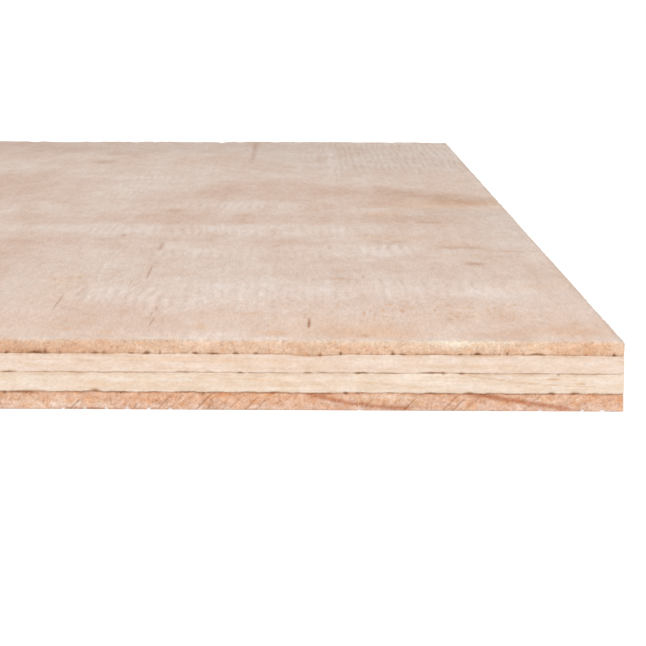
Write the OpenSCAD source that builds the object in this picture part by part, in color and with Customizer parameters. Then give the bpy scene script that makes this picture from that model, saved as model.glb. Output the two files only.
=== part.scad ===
// Four-ply plywood sheet lying flat, face veneer up.
// X runs along the front edge, Y along the grain of the face veneer, Z up.
// The origin is the centre of the underside. All sizes are in millimetres.

/* [Sheet] */
// Size across the grain of the face veneer, which is the length of the front edge
sheet_length = 610; // [150:1:2440]
// Size along the grain of the face veneer
sheet_width = 610; // [150:1:2440]

/* [Veneers] */
// Thickness of the face veneer, the top ply
face_thickness = 2.4; // [1:0.1:5]
// Thickness of the upper core veneer
upper_core_thickness = 3.2; // [1:0.1:6]
// Thickness of the lower core veneer
lower_core_thickness = 3.4; // [1:0.1:6]
// Thickness of the back veneer, the bottom ply
back_thickness = 3.0; // [1:0.1:5]

/* [Edges] */
// Arris that sawing and handling have broken off the two outer veneers
broken_arris = 0.3; // [0.1:0.05:0.8]

/* [Hidden] */

// Height of each ply's underside above the floor; the back veneer lies on it
lower_core_z = back_thickness;
upper_core_z = lower_core_z + lower_core_thickness;
face_z = upper_core_z + upper_core_thickness;

// Colours of the raw veneers
face_colour = [0.87, 0.78, 0.72];
core_colour = [0.94, 0.85, 0.76];
back_colour = [0.88, 0.71, 0.60];

// Section through an outer ply, centred, with a bevel at its two upper arrises
module bevelled_section(span, thickness) {
    half = span / 2;
    shoulder = thickness - broken_arris;
    polygon([
        [-half, 0],
        [half, 0],
        [half, shoulder],
        [half - broken_arris, thickness],
        [-half + broken_arris, thickness],
        [-half, shoulder]
    ]);
}

// Outer ply: the same bevelled section both ways, so that all four upper arrises are broken
module outer_ply(thickness) {
    intersection() {
        rotate([90, 0, 0])
            linear_extrude(height = sheet_width, center = true)
                bevelled_section(sheet_length, thickness);
        rotate([90, 0, 90])
            linear_extrude(height = sheet_length, center = true)
                bevelled_section(sheet_width, thickness);
    }
}

// Core ply: square arrises, because the plies above and below cover them
module core_ply(thickness) {
    linear_extrude(height = thickness)
        square([sheet_length, sheet_width], center = true);
}

module face_veneer() {
    color(face_colour)
        translate([0, 0, face_z])
            outer_ply(face_thickness);
}

module upper_core_veneer() {
    color(core_colour)
        translate([0, 0, upper_core_z])
            core_ply(upper_core_thickness);
}

module lower_core_veneer() {
    color(core_colour)
        translate([0, 0, lower_core_z])
            core_ply(lower_core_thickness);
}

// The back veneer lies face down, so its broken arrises are at the floor
module back_veneer() {
    color(back_colour)
        translate([0, 0, back_thickness])
            mirror([0, 0, 1])
                outer_ply(back_thickness);
}

face_veneer();
upper_core_veneer();
lower_core_veneer();
back_veneer();
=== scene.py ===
"""Looks of a four-ply plywood sheet: rough peeled veneers with sawn edges, in a pale studio.

Lengths are millimetres until a mesh is filled, which turns them into metres. A place on the sheet
is given from its front right corner: left of the right edge, and back from the front edge. In the
fields' names a cell is the size of a noise's cells, a range the two values between which a smooth
ramp runs, and a seed the number of a pattern. Strengths, shares and tints are factors.
"""

import logging
import math
from collections.abc import Callable
from dataclasses import dataclass, field, replace
from enum import Enum
from functools import cache
from typing import Self

import bpy
import numpy as np
from mathutils import Matrix, Vector


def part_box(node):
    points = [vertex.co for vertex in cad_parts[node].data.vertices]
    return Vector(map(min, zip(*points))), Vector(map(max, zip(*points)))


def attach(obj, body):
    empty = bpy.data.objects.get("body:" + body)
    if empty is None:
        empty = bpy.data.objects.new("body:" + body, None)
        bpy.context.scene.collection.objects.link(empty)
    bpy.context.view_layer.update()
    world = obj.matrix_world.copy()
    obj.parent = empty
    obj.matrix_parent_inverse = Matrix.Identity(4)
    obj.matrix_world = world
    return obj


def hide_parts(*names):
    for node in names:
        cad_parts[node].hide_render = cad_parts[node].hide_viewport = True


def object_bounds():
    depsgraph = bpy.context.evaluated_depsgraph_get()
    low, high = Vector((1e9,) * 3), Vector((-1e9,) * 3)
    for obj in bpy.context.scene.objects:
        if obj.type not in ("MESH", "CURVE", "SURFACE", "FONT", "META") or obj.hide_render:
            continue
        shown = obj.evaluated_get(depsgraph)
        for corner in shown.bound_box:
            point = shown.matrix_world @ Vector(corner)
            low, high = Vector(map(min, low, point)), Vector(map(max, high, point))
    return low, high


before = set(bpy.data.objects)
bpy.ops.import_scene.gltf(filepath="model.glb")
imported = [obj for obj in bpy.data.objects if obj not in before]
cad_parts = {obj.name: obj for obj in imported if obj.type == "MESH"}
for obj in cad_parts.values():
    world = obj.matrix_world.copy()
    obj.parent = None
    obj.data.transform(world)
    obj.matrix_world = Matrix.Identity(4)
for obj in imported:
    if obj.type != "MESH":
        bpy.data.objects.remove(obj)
cad_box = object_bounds()

Array = np.ndarray
Colour = tuple[float, float, float]
Cell = tuple[float, float]
SolidCell = tuple[float, float, float]
Range = tuple[float, float]
Socket = bpy.types.NodeSocket

MM = 0.001
PHOTO_PIXELS = 646
TINT = "tint"
LAYOUT = "OFBake"
SHARP_ANGLE = math.radians(55.0)

# Large odd numbers and word sizes of the hash that the noise is made from
COLUMN_FACTOR = 374761393
ROW_FACTOR = 668265263
SEED_FACTOR = 974634541
MIX_FACTOR = 1274126177
WORD = 0xFFFFFFFF
HALF_WORD = 0xFFFF
# Second coordinate of a noise along a line, midway between two rows of its lattice
BETWEEN_ROWS = np.array(0.5)

# Sockets of a Map Range node, and of a Mix node by number because its names repeat
RAMP_INPUTS = ("Value", "From Min", "From Max", "To Min", "To Max")
MIX_SHARE = 0
MIX_FIRST = 6
MIX_SECOND = 7
MIX_RESULT = 2

log = logging.getLogger("plywood")


class Side(Enum):
    """Edges of the sheet, in the order in which its outline is walked."""

    FRONT = 0
    RIGHT = 1
    REAR = 2
    LEFT = 3


class Grain(Enum):
    """Direction in which the fibres of a veneer run."""

    ALONG_X = 0
    ALONG_Y = 1


class Bare(Enum):
    """Broad side of a veneer that no other veneer covers."""

    TOP = 0
    UNDERSIDE = 1
    NEITHER = 2


class Stain(Enum):
    """Factors by which a mark at full strength multiplies the colour of the wood."""

    BROWN = (0.84, 0.73, 0.63)
    PINK = (0.935, 0.86, 0.82)
    PALE = (1.05, 1.08, 1.11)
    ORANGE = (1.0, 0.88, 0.75)
    GREY = (0.92, 0.93, 0.94)
    SPLIT = (0.58, 0.38, 0.27)
    # Glue, darkened further with painted shade of the gaps and pits along the seam
    GLUE_AND_GAP_SHADE = (0.37, 0.25, 0.17)
    LATEWOOD = (0.72, 0.52, 0.42)
    RING = (0.85, 0.66, 0.48)
    FIBRE = (1.10, 1.28, 1.36)
    HANDLED = (0.90, 0.89, 0.88)
    PORE = (0.73, 0.62, 0.52)
    # Pale torn fibres of a bite, pushed near white as painted light of the bright floor seen through the
    # notch
    TORN_AND_FLOOR_LIGHT = (1.65, 2.60, 3.70)
    # Painted shade in the grooves of the knife's ribs
    RIB_GROOVE_SHADE = (0.89, 0.87, 0.85)
    FLECK = (0.94, 0.84, 0.73)
    BLEACHED = (1.03, 1.15, 1.28)
    AMBER = (0.95, 0.82, 0.66)
    CHECK = (0.62, 0.49, 0.41)
    CLEAN = (1.04, 1.03, 1.035)


def smooth_step(low: Array | float, high: Array | float, value: Array) -> Array:
    """Ramp 3t^2 - 2t^3, where t runs from 0 at low to 1 at high and is held beyond them."""
    share = np.clip((value - low) / (high - low), 0.0, 1.0)
    return share * share * (3.0 - 2.0 * share)


def bell(distance: Array, reach: Array | float) -> Array:
    """Bell curve exp(-(distance / reach)^2), which is 1 at no distance."""
    return np.exp(-np.square(distance / reach))


def spaced(low: float, high: float, step_at: Callable[[Array], Array], multiple: int) -> Array:
    """Points whose spacing follows a wanted step.

    The running count of steps, which is the integral of 1 / step, is scaled to a whole number of
    steps, and that count is turned round to give the place of each whole step.

    Args:
        low: First point.
        high: Last point.
        step_at: Wanted step at each of an array of places.
        multiple: Number that divides the count of steps.

    Returns:
        The points in rising order, with both ends.
    """
    fine_places = 20001
    places = np.linspace(low, high, fine_places)
    density = 1.0 / step_at(places)
    count = np.concatenate([[0.0], np.cumsum((density[1:] + density[:-1]) / 2 * np.diff(places))])
    steps = multiple * max(1, round(count[-1] / multiple))
    return np.interp(np.arange(steps + 1) / steps, count / count[-1], places)


def stained(tint: Array, weight: Array, stain: Stain) -> Array:
    """Tint with a stain laid over it: each channel times 1 + weight (stain - 1)."""
    return tint * (1.0 + weight[..., None] * (np.array(stain.value) - 1.0))


def mottled(tint: Array, strength: Array | float, noise: Array, reach: float, dark: Stain) -> Array:
    """Tint with a dark stain where a noise is high and a pale one where it is low, full at reach."""
    tint = stained(tint, strength * smooth_step(0.0, reach, noise), dark)
    return stained(tint, strength * smooth_step(0.0, -reach, noise), Stain.PALE)


@dataclass(frozen=True)
class Ripple:
    """Gradient noise on a square lattice, the same on every run."""

    seed: int  # Sets one pattern apart from another
    gain: float = 1.5  # Brings the noise close to a range from -1 to 1
    layer_shift: int = 17  # Cells between layers, so that they don't line up

    def turn(self, column: Array, row: Array) -> Array:
        """Angle of the slope at each lattice point.

        A hash of the column, row and seed: each times a large odd number, added up, and mixed by
        two shifts and a product. Its lowest 16 bits are the share of a full turn.

        Args:
            column: Whole first coordinate.
            row: Whole second coordinate.

        Returns:
            The angles in radians.
        """
        mixed = (column * COLUMN_FACTOR + row * ROW_FACTOR + self.seed * SEED_FACTOR) & WORD
        mixed = ((mixed ^ (mixed >> 13)) * MIX_FACTOR) & WORD
        return ((mixed ^ (mixed >> 16)) & HALF_WORD) * (math.tau / (HALF_WORD + 1))

    def at(self, u: Array, v: Array) -> Array:
        """Noise from about -1 to 1.

        Each of the four corners of a cell gives its slope times the offset from it, and the four
        are blended by the fade 6t^5 - 15t^4 + 10t^3 of the place in the cell.

        Args:
            u: First coordinate, in cells.
            v: Second coordinate, in cells.

        Returns:
            The noise at each place.
        """
        u, v = np.broadcast_arrays(u, v)
        column, row = np.floor(u).astype(np.int64), np.floor(v).astype(np.int64)
        across, up = u - column, v - row

        def corner(right: int, top: int) -> Array:
            """Slope of one corner times the offset from it."""
            turn = self.turn(column + right, row + top)
            return np.cos(turn) * (across - right) + np.sin(turn) * (up - top)

        fade_across = across**3 * (across * (across * 6 - 15) + 10)
        fade_up = up**3 * (up * (up * 6 - 15) + 10)
        low = corner(0, 0) + fade_across * (corner(1, 0) - corner(0, 0))
        high = corner(0, 1) + fade_across * (corner(1, 1) - corner(0, 1))
        return self.gain * (low + fade_up * (high - low))

    def layered(self, u: Array, v: Array, layers: int = 3) -> Array:
        """Sum of noises, each at twice the frequency and half the height of the one before."""
        return sum(self.at(u * 2**k + self.layer_shift * k, v * 2**k) / 2**k for k in range(layers))

    def sized(self, u: Array, v: Array, cell: Cell, layers: int = 1) -> Array:
        """Layered noise at places in millimetres, in cells of a size."""
        return self.layered(u / cell[0], v / cell[1], layers)


class Draw(Enum):
    """Noises of a veneer, by the number that each adds to the veneer's seed."""

    GRAIN = 0
    SAW = 1
    EDGE_COLOUR = 2
    FACE_RELIEF = 5
    FACE_COLOUR = 6
    RIB_BEND = 7
    RIB_BREAKS = 8

    def noise(self, seed: int) -> Ripple:
        """The noise, for the seed of a veneer."""
        return Ripple(seed + self.value)


@dataclass
class Outline:
    """The sheet's outline, anticlockwise from the front left corner, one entry to a point."""

    x: Array
    y: Array
    out_x: Array  # Outward direction along X; a corner has both
    out_y: Array  # And along Y
    side: Array  # Number of the side that the point is on or starts
    walked: Array  # Distance walked from the front left corner
    starts: list[int]  # Index of the first point of each side, and the count of points

    def on(self, *sides: Side) -> Array:
        """1 at points on the named sides, and 0 elsewhere."""
        return np.isin(self.side, [side.value for side in sides]).astype(float)

    def left(self) -> Array:
        """Distance of each point of the front edge from the right corner, and infinity elsewhere."""
        return np.where(self.on(Side.FRONT) > 0.0, self.walked[self.starts[1]] - self.walked, np.inf)


@dataclass(frozen=True)
class SheetPlan:
    """Size of the sheet in plan, and how closely its surfaces are sampled."""

    half_x: float  # Half the length of the front edge
    half_y: float  # And of the right edge
    close_reach: float = 114.0  # Length of front edge, from the right corner, sampled closely
    close_step: float = 0.2  # Step along that length
    far_step: float = 1.6  # Step along the rest of the front edge
    fade: float = 12.0  # Length over which the steps change and fine relief fades out
    near_row: float = 1.0  # Depth of the first row of faces behind the front edge
    far_row: float = 11.0  # Depth of the deepest row, short of the rear edge
    rear_growth: float = 0.2  # Growth of the rows for each millimetre from the rear edge
    per_column: int = 2  # Steps of the front edge to a column of the broad faces
    per_row: int = 2  # Steps of the left and right edges to a row
    margin: float = 0.8  # Least distance from the edges to the inner points of the broad faces

    def left_of_edge(self, x: Array) -> Array:
        """Distance of each place from the right edge."""
        return self.half_x - x

    def back_of_edge(self, y: Array) -> Array:
        """Distance of each place from the front edge."""
        return y + self.half_y

    def sampled(self, left: Array) -> Array:
        """1 where the columns of points are close together, falling to 0 at the end of that length."""
        return smooth_step(self.close_reach, self.close_reach - self.fade, left)

    def front_points(self) -> Array:
        """Places along the front edge, close together near the right corner.

        Returns:
            The places along X, in rising order.
        """
        start = self.half_x - self.close_reach

        def step(x: Array) -> Array:
            """The far step, falling to the close one over a short stretch."""
            closeness = smooth_step(start - self.fade, start, x)
            return self.far_step + (self.close_step - self.far_step) * closeness

        return spaced(-self.half_x, self.half_x, step, self.per_column)

    def rows(self) -> Array:
        """Places of the rows of the broad faces, closest at the front edge.

        Returns:
            The places along Y, in rising order.
        """
        growth = (self.far_row - self.near_row) / (2 * self.half_y)

        def step(y: Array) -> Array:
            """Step that grows evenly with depth and falls again at the rear edge."""
            grown = self.near_row + growth * self.back_of_edge(y)
            return np.minimum(grown, self.near_row + self.rear_growth * (self.half_y - y))

        return spaced(-self.half_y, self.half_y, step, 1)

    def side_points(self) -> Array:
        """Places along the left and right edges: the rows, each cut into per_row steps.

        Returns:
            The places along Y, in rising order.
        """
        rows = self.rows()
        steps = self.per_row * (len(rows) - 1)
        return np.interp(np.arange(steps + 1) / self.per_row, np.arange(len(rows)), rows)

    def outline(self) -> Outline:
        """The four edges joined into one closed walk.

        Returns:
            The outline.
        """
        front, sides = self.front_points(), self.side_points()
        rear = front[:: -self.per_column]
        at_side = np.full(len(sides) - 1, self.half_x)
        x = [front[:-1], at_side, rear[:-1], -at_side]
        y = [
            np.full(len(front) - 1, -self.half_y),
            sides[:-1],
            np.full(len(rear) - 1, self.half_y),
            sides[:0:-1],
        ]
        counts = [len(part) for part in x]
        starts = np.concatenate([[0], np.cumsum(counts)])
        side = np.repeat(np.arange(len(Side)), counts)
        out_x = np.array([0.0, 1.0, 0.0, -1.0])[side]
        out_y = np.array([-1.0, 0.0, 1.0, 0.0])[side]
        corners = starts[:-1]
        out_x[corners] = [-1.0, 1.0, 1.0, -1.0]
        out_y[corners] = [-1.0, -1.0, 1.0, 1.0]
        x, y = np.concatenate(x), np.concatenate(y)
        steps = np.hypot(np.diff(x), np.diff(y))
        walked = np.concatenate([[0.0], np.cumsum(steps)])
        return Outline(x, y, out_x, out_y, side, walked, starts.tolist())


@dataclass
class Shell:
    """Points and faces of one closed piece, gathered as arrays."""

    points: list[Array] = field(default_factory=list)  # Blocks of places, each of shape (count, 3)
    # Colour factors with the share of end grain, each of shape (count, 4)
    tints: list[Array] = field(default_factory=list)
    faces: list[Array] = field(default_factory=list)  # Each of shape (count, corners)
    layouts: list[Array] = field(default_factory=list)  # Place on the flat layout of each corner
    count: int = 0  # Points so far

    def add_points(self, x: Array, y: Array, z: Array, tint: Array, end_grain: Array) -> Array:
        """Adds a block of points.

        Args:
            x: Places along X, of any shape.
            y: Places along Y, of the same shape.
            z: Places along Z, of the same shape.
            tint: Colour factors, of that shape with 3 more.
            end_grain: 1 where the surface cuts across the fibres, and 0 along them.

        Returns:
            The number of each point, in the shape of x.
        """
        numbers = self.count + np.arange(x.size).reshape(x.shape)
        self.points.append(np.stack([x, y, z], axis=-1).reshape(-1, 3))
        self.tints.append(np.concatenate([tint, end_grain[..., None]], axis=-1).reshape(-1, 4))
        self.count += x.size
        return numbers

    def add_faces(self, corners: Array, layout: Array) -> None:
        """Adds faces of shape (count, corners), with a layout of that shape and 2 more."""
        self.faces.append(corners)
        self.layouts.append(layout)

    def places(self, numbers: Array) -> Array:
        """Places of points by number, with a last axis of 3."""
        return np.concatenate(self.points)[numbers]

    def fill(self, name: str) -> bpy.types.Object:
        """Makes the piece: a mesh in metres at the origin, smooth except at sharp edges.

        Args:
            name: Name of the piece.

        Returns:
            The object, linked to the scene.
        """
        loops = np.concatenate([block.ravel() for block in self.faces])
        totals = np.concatenate([np.full(len(block), block.shape[1]) for block in self.faces])
        starts = np.concatenate([[0], np.cumsum(totals)[:-1]])
        mesh = bpy.data.meshes.new(name)
        mesh.vertices.add(self.count)
        mesh.vertices.foreach_set("co", (np.concatenate(self.points) * MM).astype(np.float32).ravel())
        mesh.loops.add(len(loops))
        mesh.loops.foreach_set("vertex_index", loops.astype(np.int32))
        mesh.polygons.add(len(starts))
        mesh.polygons.foreach_set("loop_start", starts.astype(np.int32))
        mesh.update(calc_edges=True)
        tints = np.concatenate(self.tints)
        mesh.attributes.new(TINT, "FLOAT_COLOR", "POINT").data.foreach_set("color", tints.ravel())
        flat = np.concatenate([block.reshape(-1, 2) for block in self.layouts])
        mesh.uv_layers.new(name=LAYOUT).data.foreach_set("uv", flat.ravel())
        mesh.shade_smooth()
        mesh.set_sharp_from_angle(angle=SHARP_ANGLE)
        piece = bpy.data.objects.new(name, mesh)
        bpy.context.scene.collection.objects.link(piece)
        return piece


@dataclass(frozen=True, kw_only=True)
class Boundary:
    """Upper or lower bound of a veneer's edge, all round the sheet."""

    seed: int
    height: float = 0.0  # Height above the floor, which the CAD nodes give

    def raised(self, height: float) -> Self:
        """The same bound at a height above the floor."""
        return replace(self, height=height)

    def noise(self, along: Array, size: float, number: int, layers: int = 3) -> Array:
        """One of its numbered noises along the edge, in cells of a size."""
        return Ripple(self.seed + number).layered(along / size, BETWEEN_ROWS, layers)

    def level(self, outline: Outline) -> Array:
        """Height at each point of the outline, which each kind of bound works out."""
        raise NotImplementedError

    def setback(self, outline: Outline, distance: Array, upward: bool) -> Array:
        """How far the edge falls back at a distance from the bound, above it or below."""
        raise NotImplementedError

    def paint(self, outline: Outline, distance: Array, upward: bool, tint: Array) -> Array:
        """Tint with what the bound adds at a distance from it, above it or below."""
        raise NotImplementedError


@dataclass(frozen=True)
class GlueRun:
    """Stretch of a seam, on the front edge, in which the glue and the painted shade of its gaps stand out.
    """

    left: float
    half: float  # Half its length
    strength: float
    up: float = 0.0  # Reach into the veneer above
    down: float = 0.0  # And below
    shift: float = 0.0  # How far it carries the seam up
    gain: float = 1.2  # How much further it reaches at its faint tip

    def weight(self, left: Array) -> Array:
        """1 at the middle, falling as 1 - t^2 to 0 at the ends, where t is 1."""
        return np.maximum(0.0, 1.0 - np.square((left - self.left) / self.half))

    def reach(self, left: Array, upward: bool) -> Array:
        """Reach into the veneer above or below, falling evenly from the middle to 0 at the ends."""
        peak = np.maximum(0.0, 1.0 - np.abs(left - self.left) / self.half)
        return self.gain * (self.up if upward else self.down) * peak


@dataclass(frozen=True)
class GlueSeam(Boundary):
    """Glue line between two veneers, as it shows all round the sheet's edges: dark glue, with painted
    shade of its gaps and pits.
    """

    wave: float = 0.1  # How far the seam strays from its height
    wave_cells: Cell = (11.0, 1.6)
    line: float = 0.1  # Half the thickness of the dark line
    line_least: float = 0.04
    line_cell: float = 0.9
    line_stray: float = 0.5  # Share by which the thickness changes
    lean: float = 0.0  # How much further it reaches down than up, as a share
    halo: float = 0.5  # Strength of the amber colour beside the line
    halo_spread: float = 2.0  # Its reach, in reaches of the line
    darkness: float = 0.5  # Strength of the line where it is whole
    gaps: float = 0.5  # Share of the line that fades out
    gap_cell: float = 5.0
    gap_range: Range = (-0.15, 0.35)
    tooth_every: float = 1.6  # Size of the noise that sets the teeth of glue and painted pit shade
    tooth_share: float = 0.3  # Noise above which a tooth stands out
    tooth_rise: float = 0.5  # Noise beyond that at which it is full
    tooth_up: float = 0.3  # Reach of a full tooth above the seam
    tooth_down: float = 0.06  # And below
    tooth_rest: float = 0.45  # Share of the teeth left among the runs
    tooth_fade: float = 4.0  # Length past the last run over which they come back
    soak_up: float = 0.0  # Strength of the stain soaked into the veneer above
    soak_down: float = 0.0  # And below
    soak_reach: float = 0.5
    soak_cell: float = 9.0
    soak_range: Range = (-0.3, 0.6)
    groove: float = 0.04
    pit: float = 0.1  # Depth of the pit behind the strongest glue
    runs: tuple[GlueRun, ...] = ()  # On the front edge, in place of teeth

    def level(self, outline: Outline) -> Array:
        """Height at each point: the mean of slow and quick waves, and the runs' shifts.

        Args:
            outline: The sheet's outline.

        Returns:
            The heights.
        """
        cells = enumerate(self.wave_cells)
        slow, quick = (self.noise(outline.walked, cell, k, layers=k + 1) for k, cell in cells)
        shifts = sum(run.shift * run.weight(outline.left()) for run in self.runs)
        return self.height + self.wave * (slow + quick) / 2 + shifts

    def teeth(self, outline: Outline) -> Array:
        """How far teeth stand out, dark glue with painted shade of pits: the higher part of a noise, less
        of it among the runs.

        Args:
            outline: The sheet's outline.

        Returns:
            1 at a full tooth, and 0 between teeth.
        """
        last = max((run.left for run in self.runs), default=0.0)
        beyond = smooth_step(last, last + self.tooth_fade, outline.left())
        share = self.tooth_rest + (1.0 - self.tooth_rest) * beyond
        noise = self.noise(outline.walked, self.tooth_every, number=2)
        return share * smooth_step(self.tooth_share, self.tooth_share + self.tooth_rise, noise)

    def strength(self, outline: Outline) -> Array:
        """Strength of the line: whole but for its gaps, or a tooth's or a run's where that is more.

        Args:
            outline: The sheet's outline.

        Returns:
            The strength at each point.
        """
        gaps = self.noise(outline.walked, self.gap_cell, number=3, layers=4)
        faded = smooth_step(*self.gap_range, gaps)
        strength = np.maximum(self.darkness * (1.0 - self.gaps * faded), self.teeth(outline))
        for run in self.runs:
            strength = np.maximum(strength, run.strength * run.weight(outline.left()))
        return strength

    def reach(self, outline: Outline, upward: bool) -> Array:
        """Half the height of the glue: the line's, changed by a noise, with the teeth and the runs.

        Args:
            outline: The sheet's outline.
            upward: True in the veneer above the seam.

        Returns:
            The reach at each point.
        """
        line = self.line * (1.0 - self.lean if upward else 1.0 + self.lean)
        stray = self.line_stray * self.noise(outline.walked, self.line_cell, number=5, layers=2)
        tooth = self.tooth_up if upward else self.tooth_down
        reach = np.maximum(self.line_least, line * (1.0 + stray)) + self.teeth(outline) * tooth
        for run in self.runs:
            reach = reach + run.reach(outline.left(), upward)
        return reach

    def setback(self, outline: Outline, distance: Array, upward: bool) -> Array:
        """How far the edge falls back: a bell across the seam, deepest behind the strongest glue."""
        depth = self.groove + self.pit * self.strength(outline)
        return depth * bell(distance, self.reach(outline, upward))

    def paint(self, outline: Outline, distance: Array, upward: bool, tint: Array) -> Array:
        """Tint with the soaked stain, the amber halo and the line over it, which is glue and painted shade
        of the seam's gaps and pits.

        The stain comes and goes with a slow noise. The line is exp(-t^4), where t is 1 at its reach.

        Args:
            outline: The sheet's outline.
            distance: Distance of each point from the seam.
            upward: True in the veneer above the seam.
            tint: Colour factors so far.

        Returns:
            The new colour factors.
        """
        soaked = smooth_step(*self.soak_range, self.noise(outline.walked, self.soak_cell, number=4))
        soaked = soaked * bell(distance, self.soak_reach)
        tint = stained(tint, (self.soak_up if upward else self.soak_down) * soaked, Stain.BROWN)
        reach, strength = self.reach(outline, upward), self.strength(outline)
        halo = self.halo * strength * bell(distance, self.halo_spread * reach)
        tint = stained(tint, halo, Stain.AMBER)
        # The line: dark glue, with painted shade of the seam's gaps and pits
        return stained(tint, strength * np.exp(-((distance / reach) ** 4)), Stain.GLUE_AND_GAP_SHADE)


@dataclass(frozen=True)
class Bite:
    """Place where the lower arris has splintered away: pale torn fibres, and painted light near white
    where the bright floor would show through the notch.
    """

    left: float
    width: float
    height: float  # Height at its middle
    depth: float = 0.2  # Depth into the sheet at its middle
    fullness: float = 2.0  # How soon it is whole inside its rim

    def weight(self, left: Array, distance: Array) -> Array:
        """1 at the middle of the bite on the arris, falling evenly to its rim."""
        across = np.maximum(0.0, 1.0 - np.square((left - self.left) / (self.width / 2)))
        return np.clip(self.fullness * across * (1.0 - distance / self.height), 0.0, 1.0)


@dataclass(frozen=True)
class Arris(Boundary):
    """Outer arris of the face or back veneer, all round the sheet."""

    inward: float  # Sign of the direction from the outer face into the sheet
    size: float = 0.25
    round_cell: float = 0.8
    round_stray: float = 0.5  # Share by which its rounding is out of true
    drop: float = 0.1  # Mean depth of the arris below the outer face
    raggedness: float = 0.1  # How far torn fibres take it out of true
    # Length and strength of short and of long torn fibres
    tears: tuple[tuple[float, float], ...] = ((1.2, 1.0), (7.0, 0.8))
    rear_drop: float = 0.0  # How far bumps take it down at the rear edge
    rear_sag: float = 0.0  # How far it is worn down to the left of the rear right corner
    sag_range: Range = (265.0, 155.0)  # Places along X
    bump_cell: float = 4.5
    bump_rise: float = 0.1  # Noise added before its higher part is taken
    bump_rest: float = 0.4  # Share of the bumps where there is no sag
    bleach: float = 0.0  # Strength of the pale band that handling has left
    bleach_reach: float = 2.0
    turn_reach: float = 0.05  # Distance over which the edge takes on the outer face's colour
    handled_reach: float = 0.3  # Width of the grey from hands on the other edges
    fringe: float = 0.35  # Depth of the pale torn fibres at the front
    fringe_cell: float = 1.3
    fringe_stray: float = 0.8  # Share by which that depth changes
    fringe_least: float = 0.1
    fringe_middle: float = 0.2  # Distance of their palest part from the arris
    # Each with distance left, half length and strength
    fringes: tuple[tuple[float, float, float], ...] = ()
    bites: tuple[Bite, ...] = ()

    def level(self, outline: Outline) -> Array:
        """Height at each point: the higher parts of short and long noise, inward, and rear wear.

        Args:
            outline: The sheet's outline.

        Returns:
            The heights.
        """
        noises = [self.noise(outline.walked, cell, k) for k, (cell, _) in enumerate(self.tears)]
        torn = sum(share * np.maximum(0.0, noise) for noise, (_, share) in zip(noises, self.tears))
        bumps = outline.on(Side.REAR) * self.rear_bumps(outline.x)
        return self.height + self.inward * (self.drop + self.raggedness * torn + bumps)

    def rear_bumps(self, x: Array) -> Array:
        """How far the rear arris is worn down: a sag, and the higher part of a noise.

        Args:
            x: Places along the rear edge.

        Returns:
            The depth at each place.
        """
        sag = smooth_step(*self.sag_range, x)
        noise = self.noise(x, self.bump_cell, number=4, layers=2)
        bumps = np.maximum(0.0, self.bump_rise + noise)
        share = self.bump_rest + (1.0 - self.bump_rest) * sag
        return self.rear_sag * sag + self.rear_drop * share * bumps

    def setback(self, outline: Outline, distance: Array, upward: bool) -> Array:
        """How far the edge falls back: a quarter round out of true, and the bites.

        Args:
            outline: The sheet's outline.
            distance: Distance of each point from the arris.
            upward: True in the veneer above the boundary.

        Returns:
            The depth at each point.
        """
        turn = np.clip(1.0 - distance / self.size, 0.0, 1.0)
        torn = 1.0 + self.round_stray * self.noise(outline.walked, self.round_cell, number=2)
        depth = self.size * torn * (1.0 - np.sqrt(1.0 - turn * turn))
        for bite in self.bites:
            depth = depth + bite.depth * bite.weight(outline.left(), distance)
        return depth

    def paint(self, outline: Outline, distance: Array, upward: bool, tint: Array) -> Array:
        """Tint that turns to the outer face's at the arris, with pale fibres, and the bites' torn fibres
        and painted light, over it.

        Args:
            outline: The sheet's outline.
            distance: Distance of each point from the arris.
            upward: True in the veneer above the boundary.
            tint: Colour factors so far.

        Returns:
            The new colour factors.
        """
        bleach = self.bleach * smooth_step(self.bleach_reach, 0.0, distance)
        tint = stained(tint, bleach, Stain.BLEACHED)
        tint = tint + bell(distance, self.turn_reach)[..., None] * (1.0 - tint)
        front, left = outline.on(Side.FRONT), outline.left()
        tint = stained(tint, (1.0 - front) * bell(distance, self.handled_reach), Stain.HANDLED)
        strength = sum(share * bell(left - middle, half) for middle, half, share in self.fringes)
        stray = self.fringe_stray * self.noise(outline.walked, self.fringe_cell, number=3)
        depth = np.maximum(self.fringe_least, self.fringe * (1.0 + stray))
        tint = stained(tint, front * strength * bell(distance - self.fringe_middle, depth), Stain.FIBRE)
        # Bites: pale torn fibres, and painted light where the bright floor would show through the notch
        for bite in self.bites:
            tint = stained(tint, bite.weight(left, distance), Stain.TORN_AND_FLOOR_LIGHT)
        return tint


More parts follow.
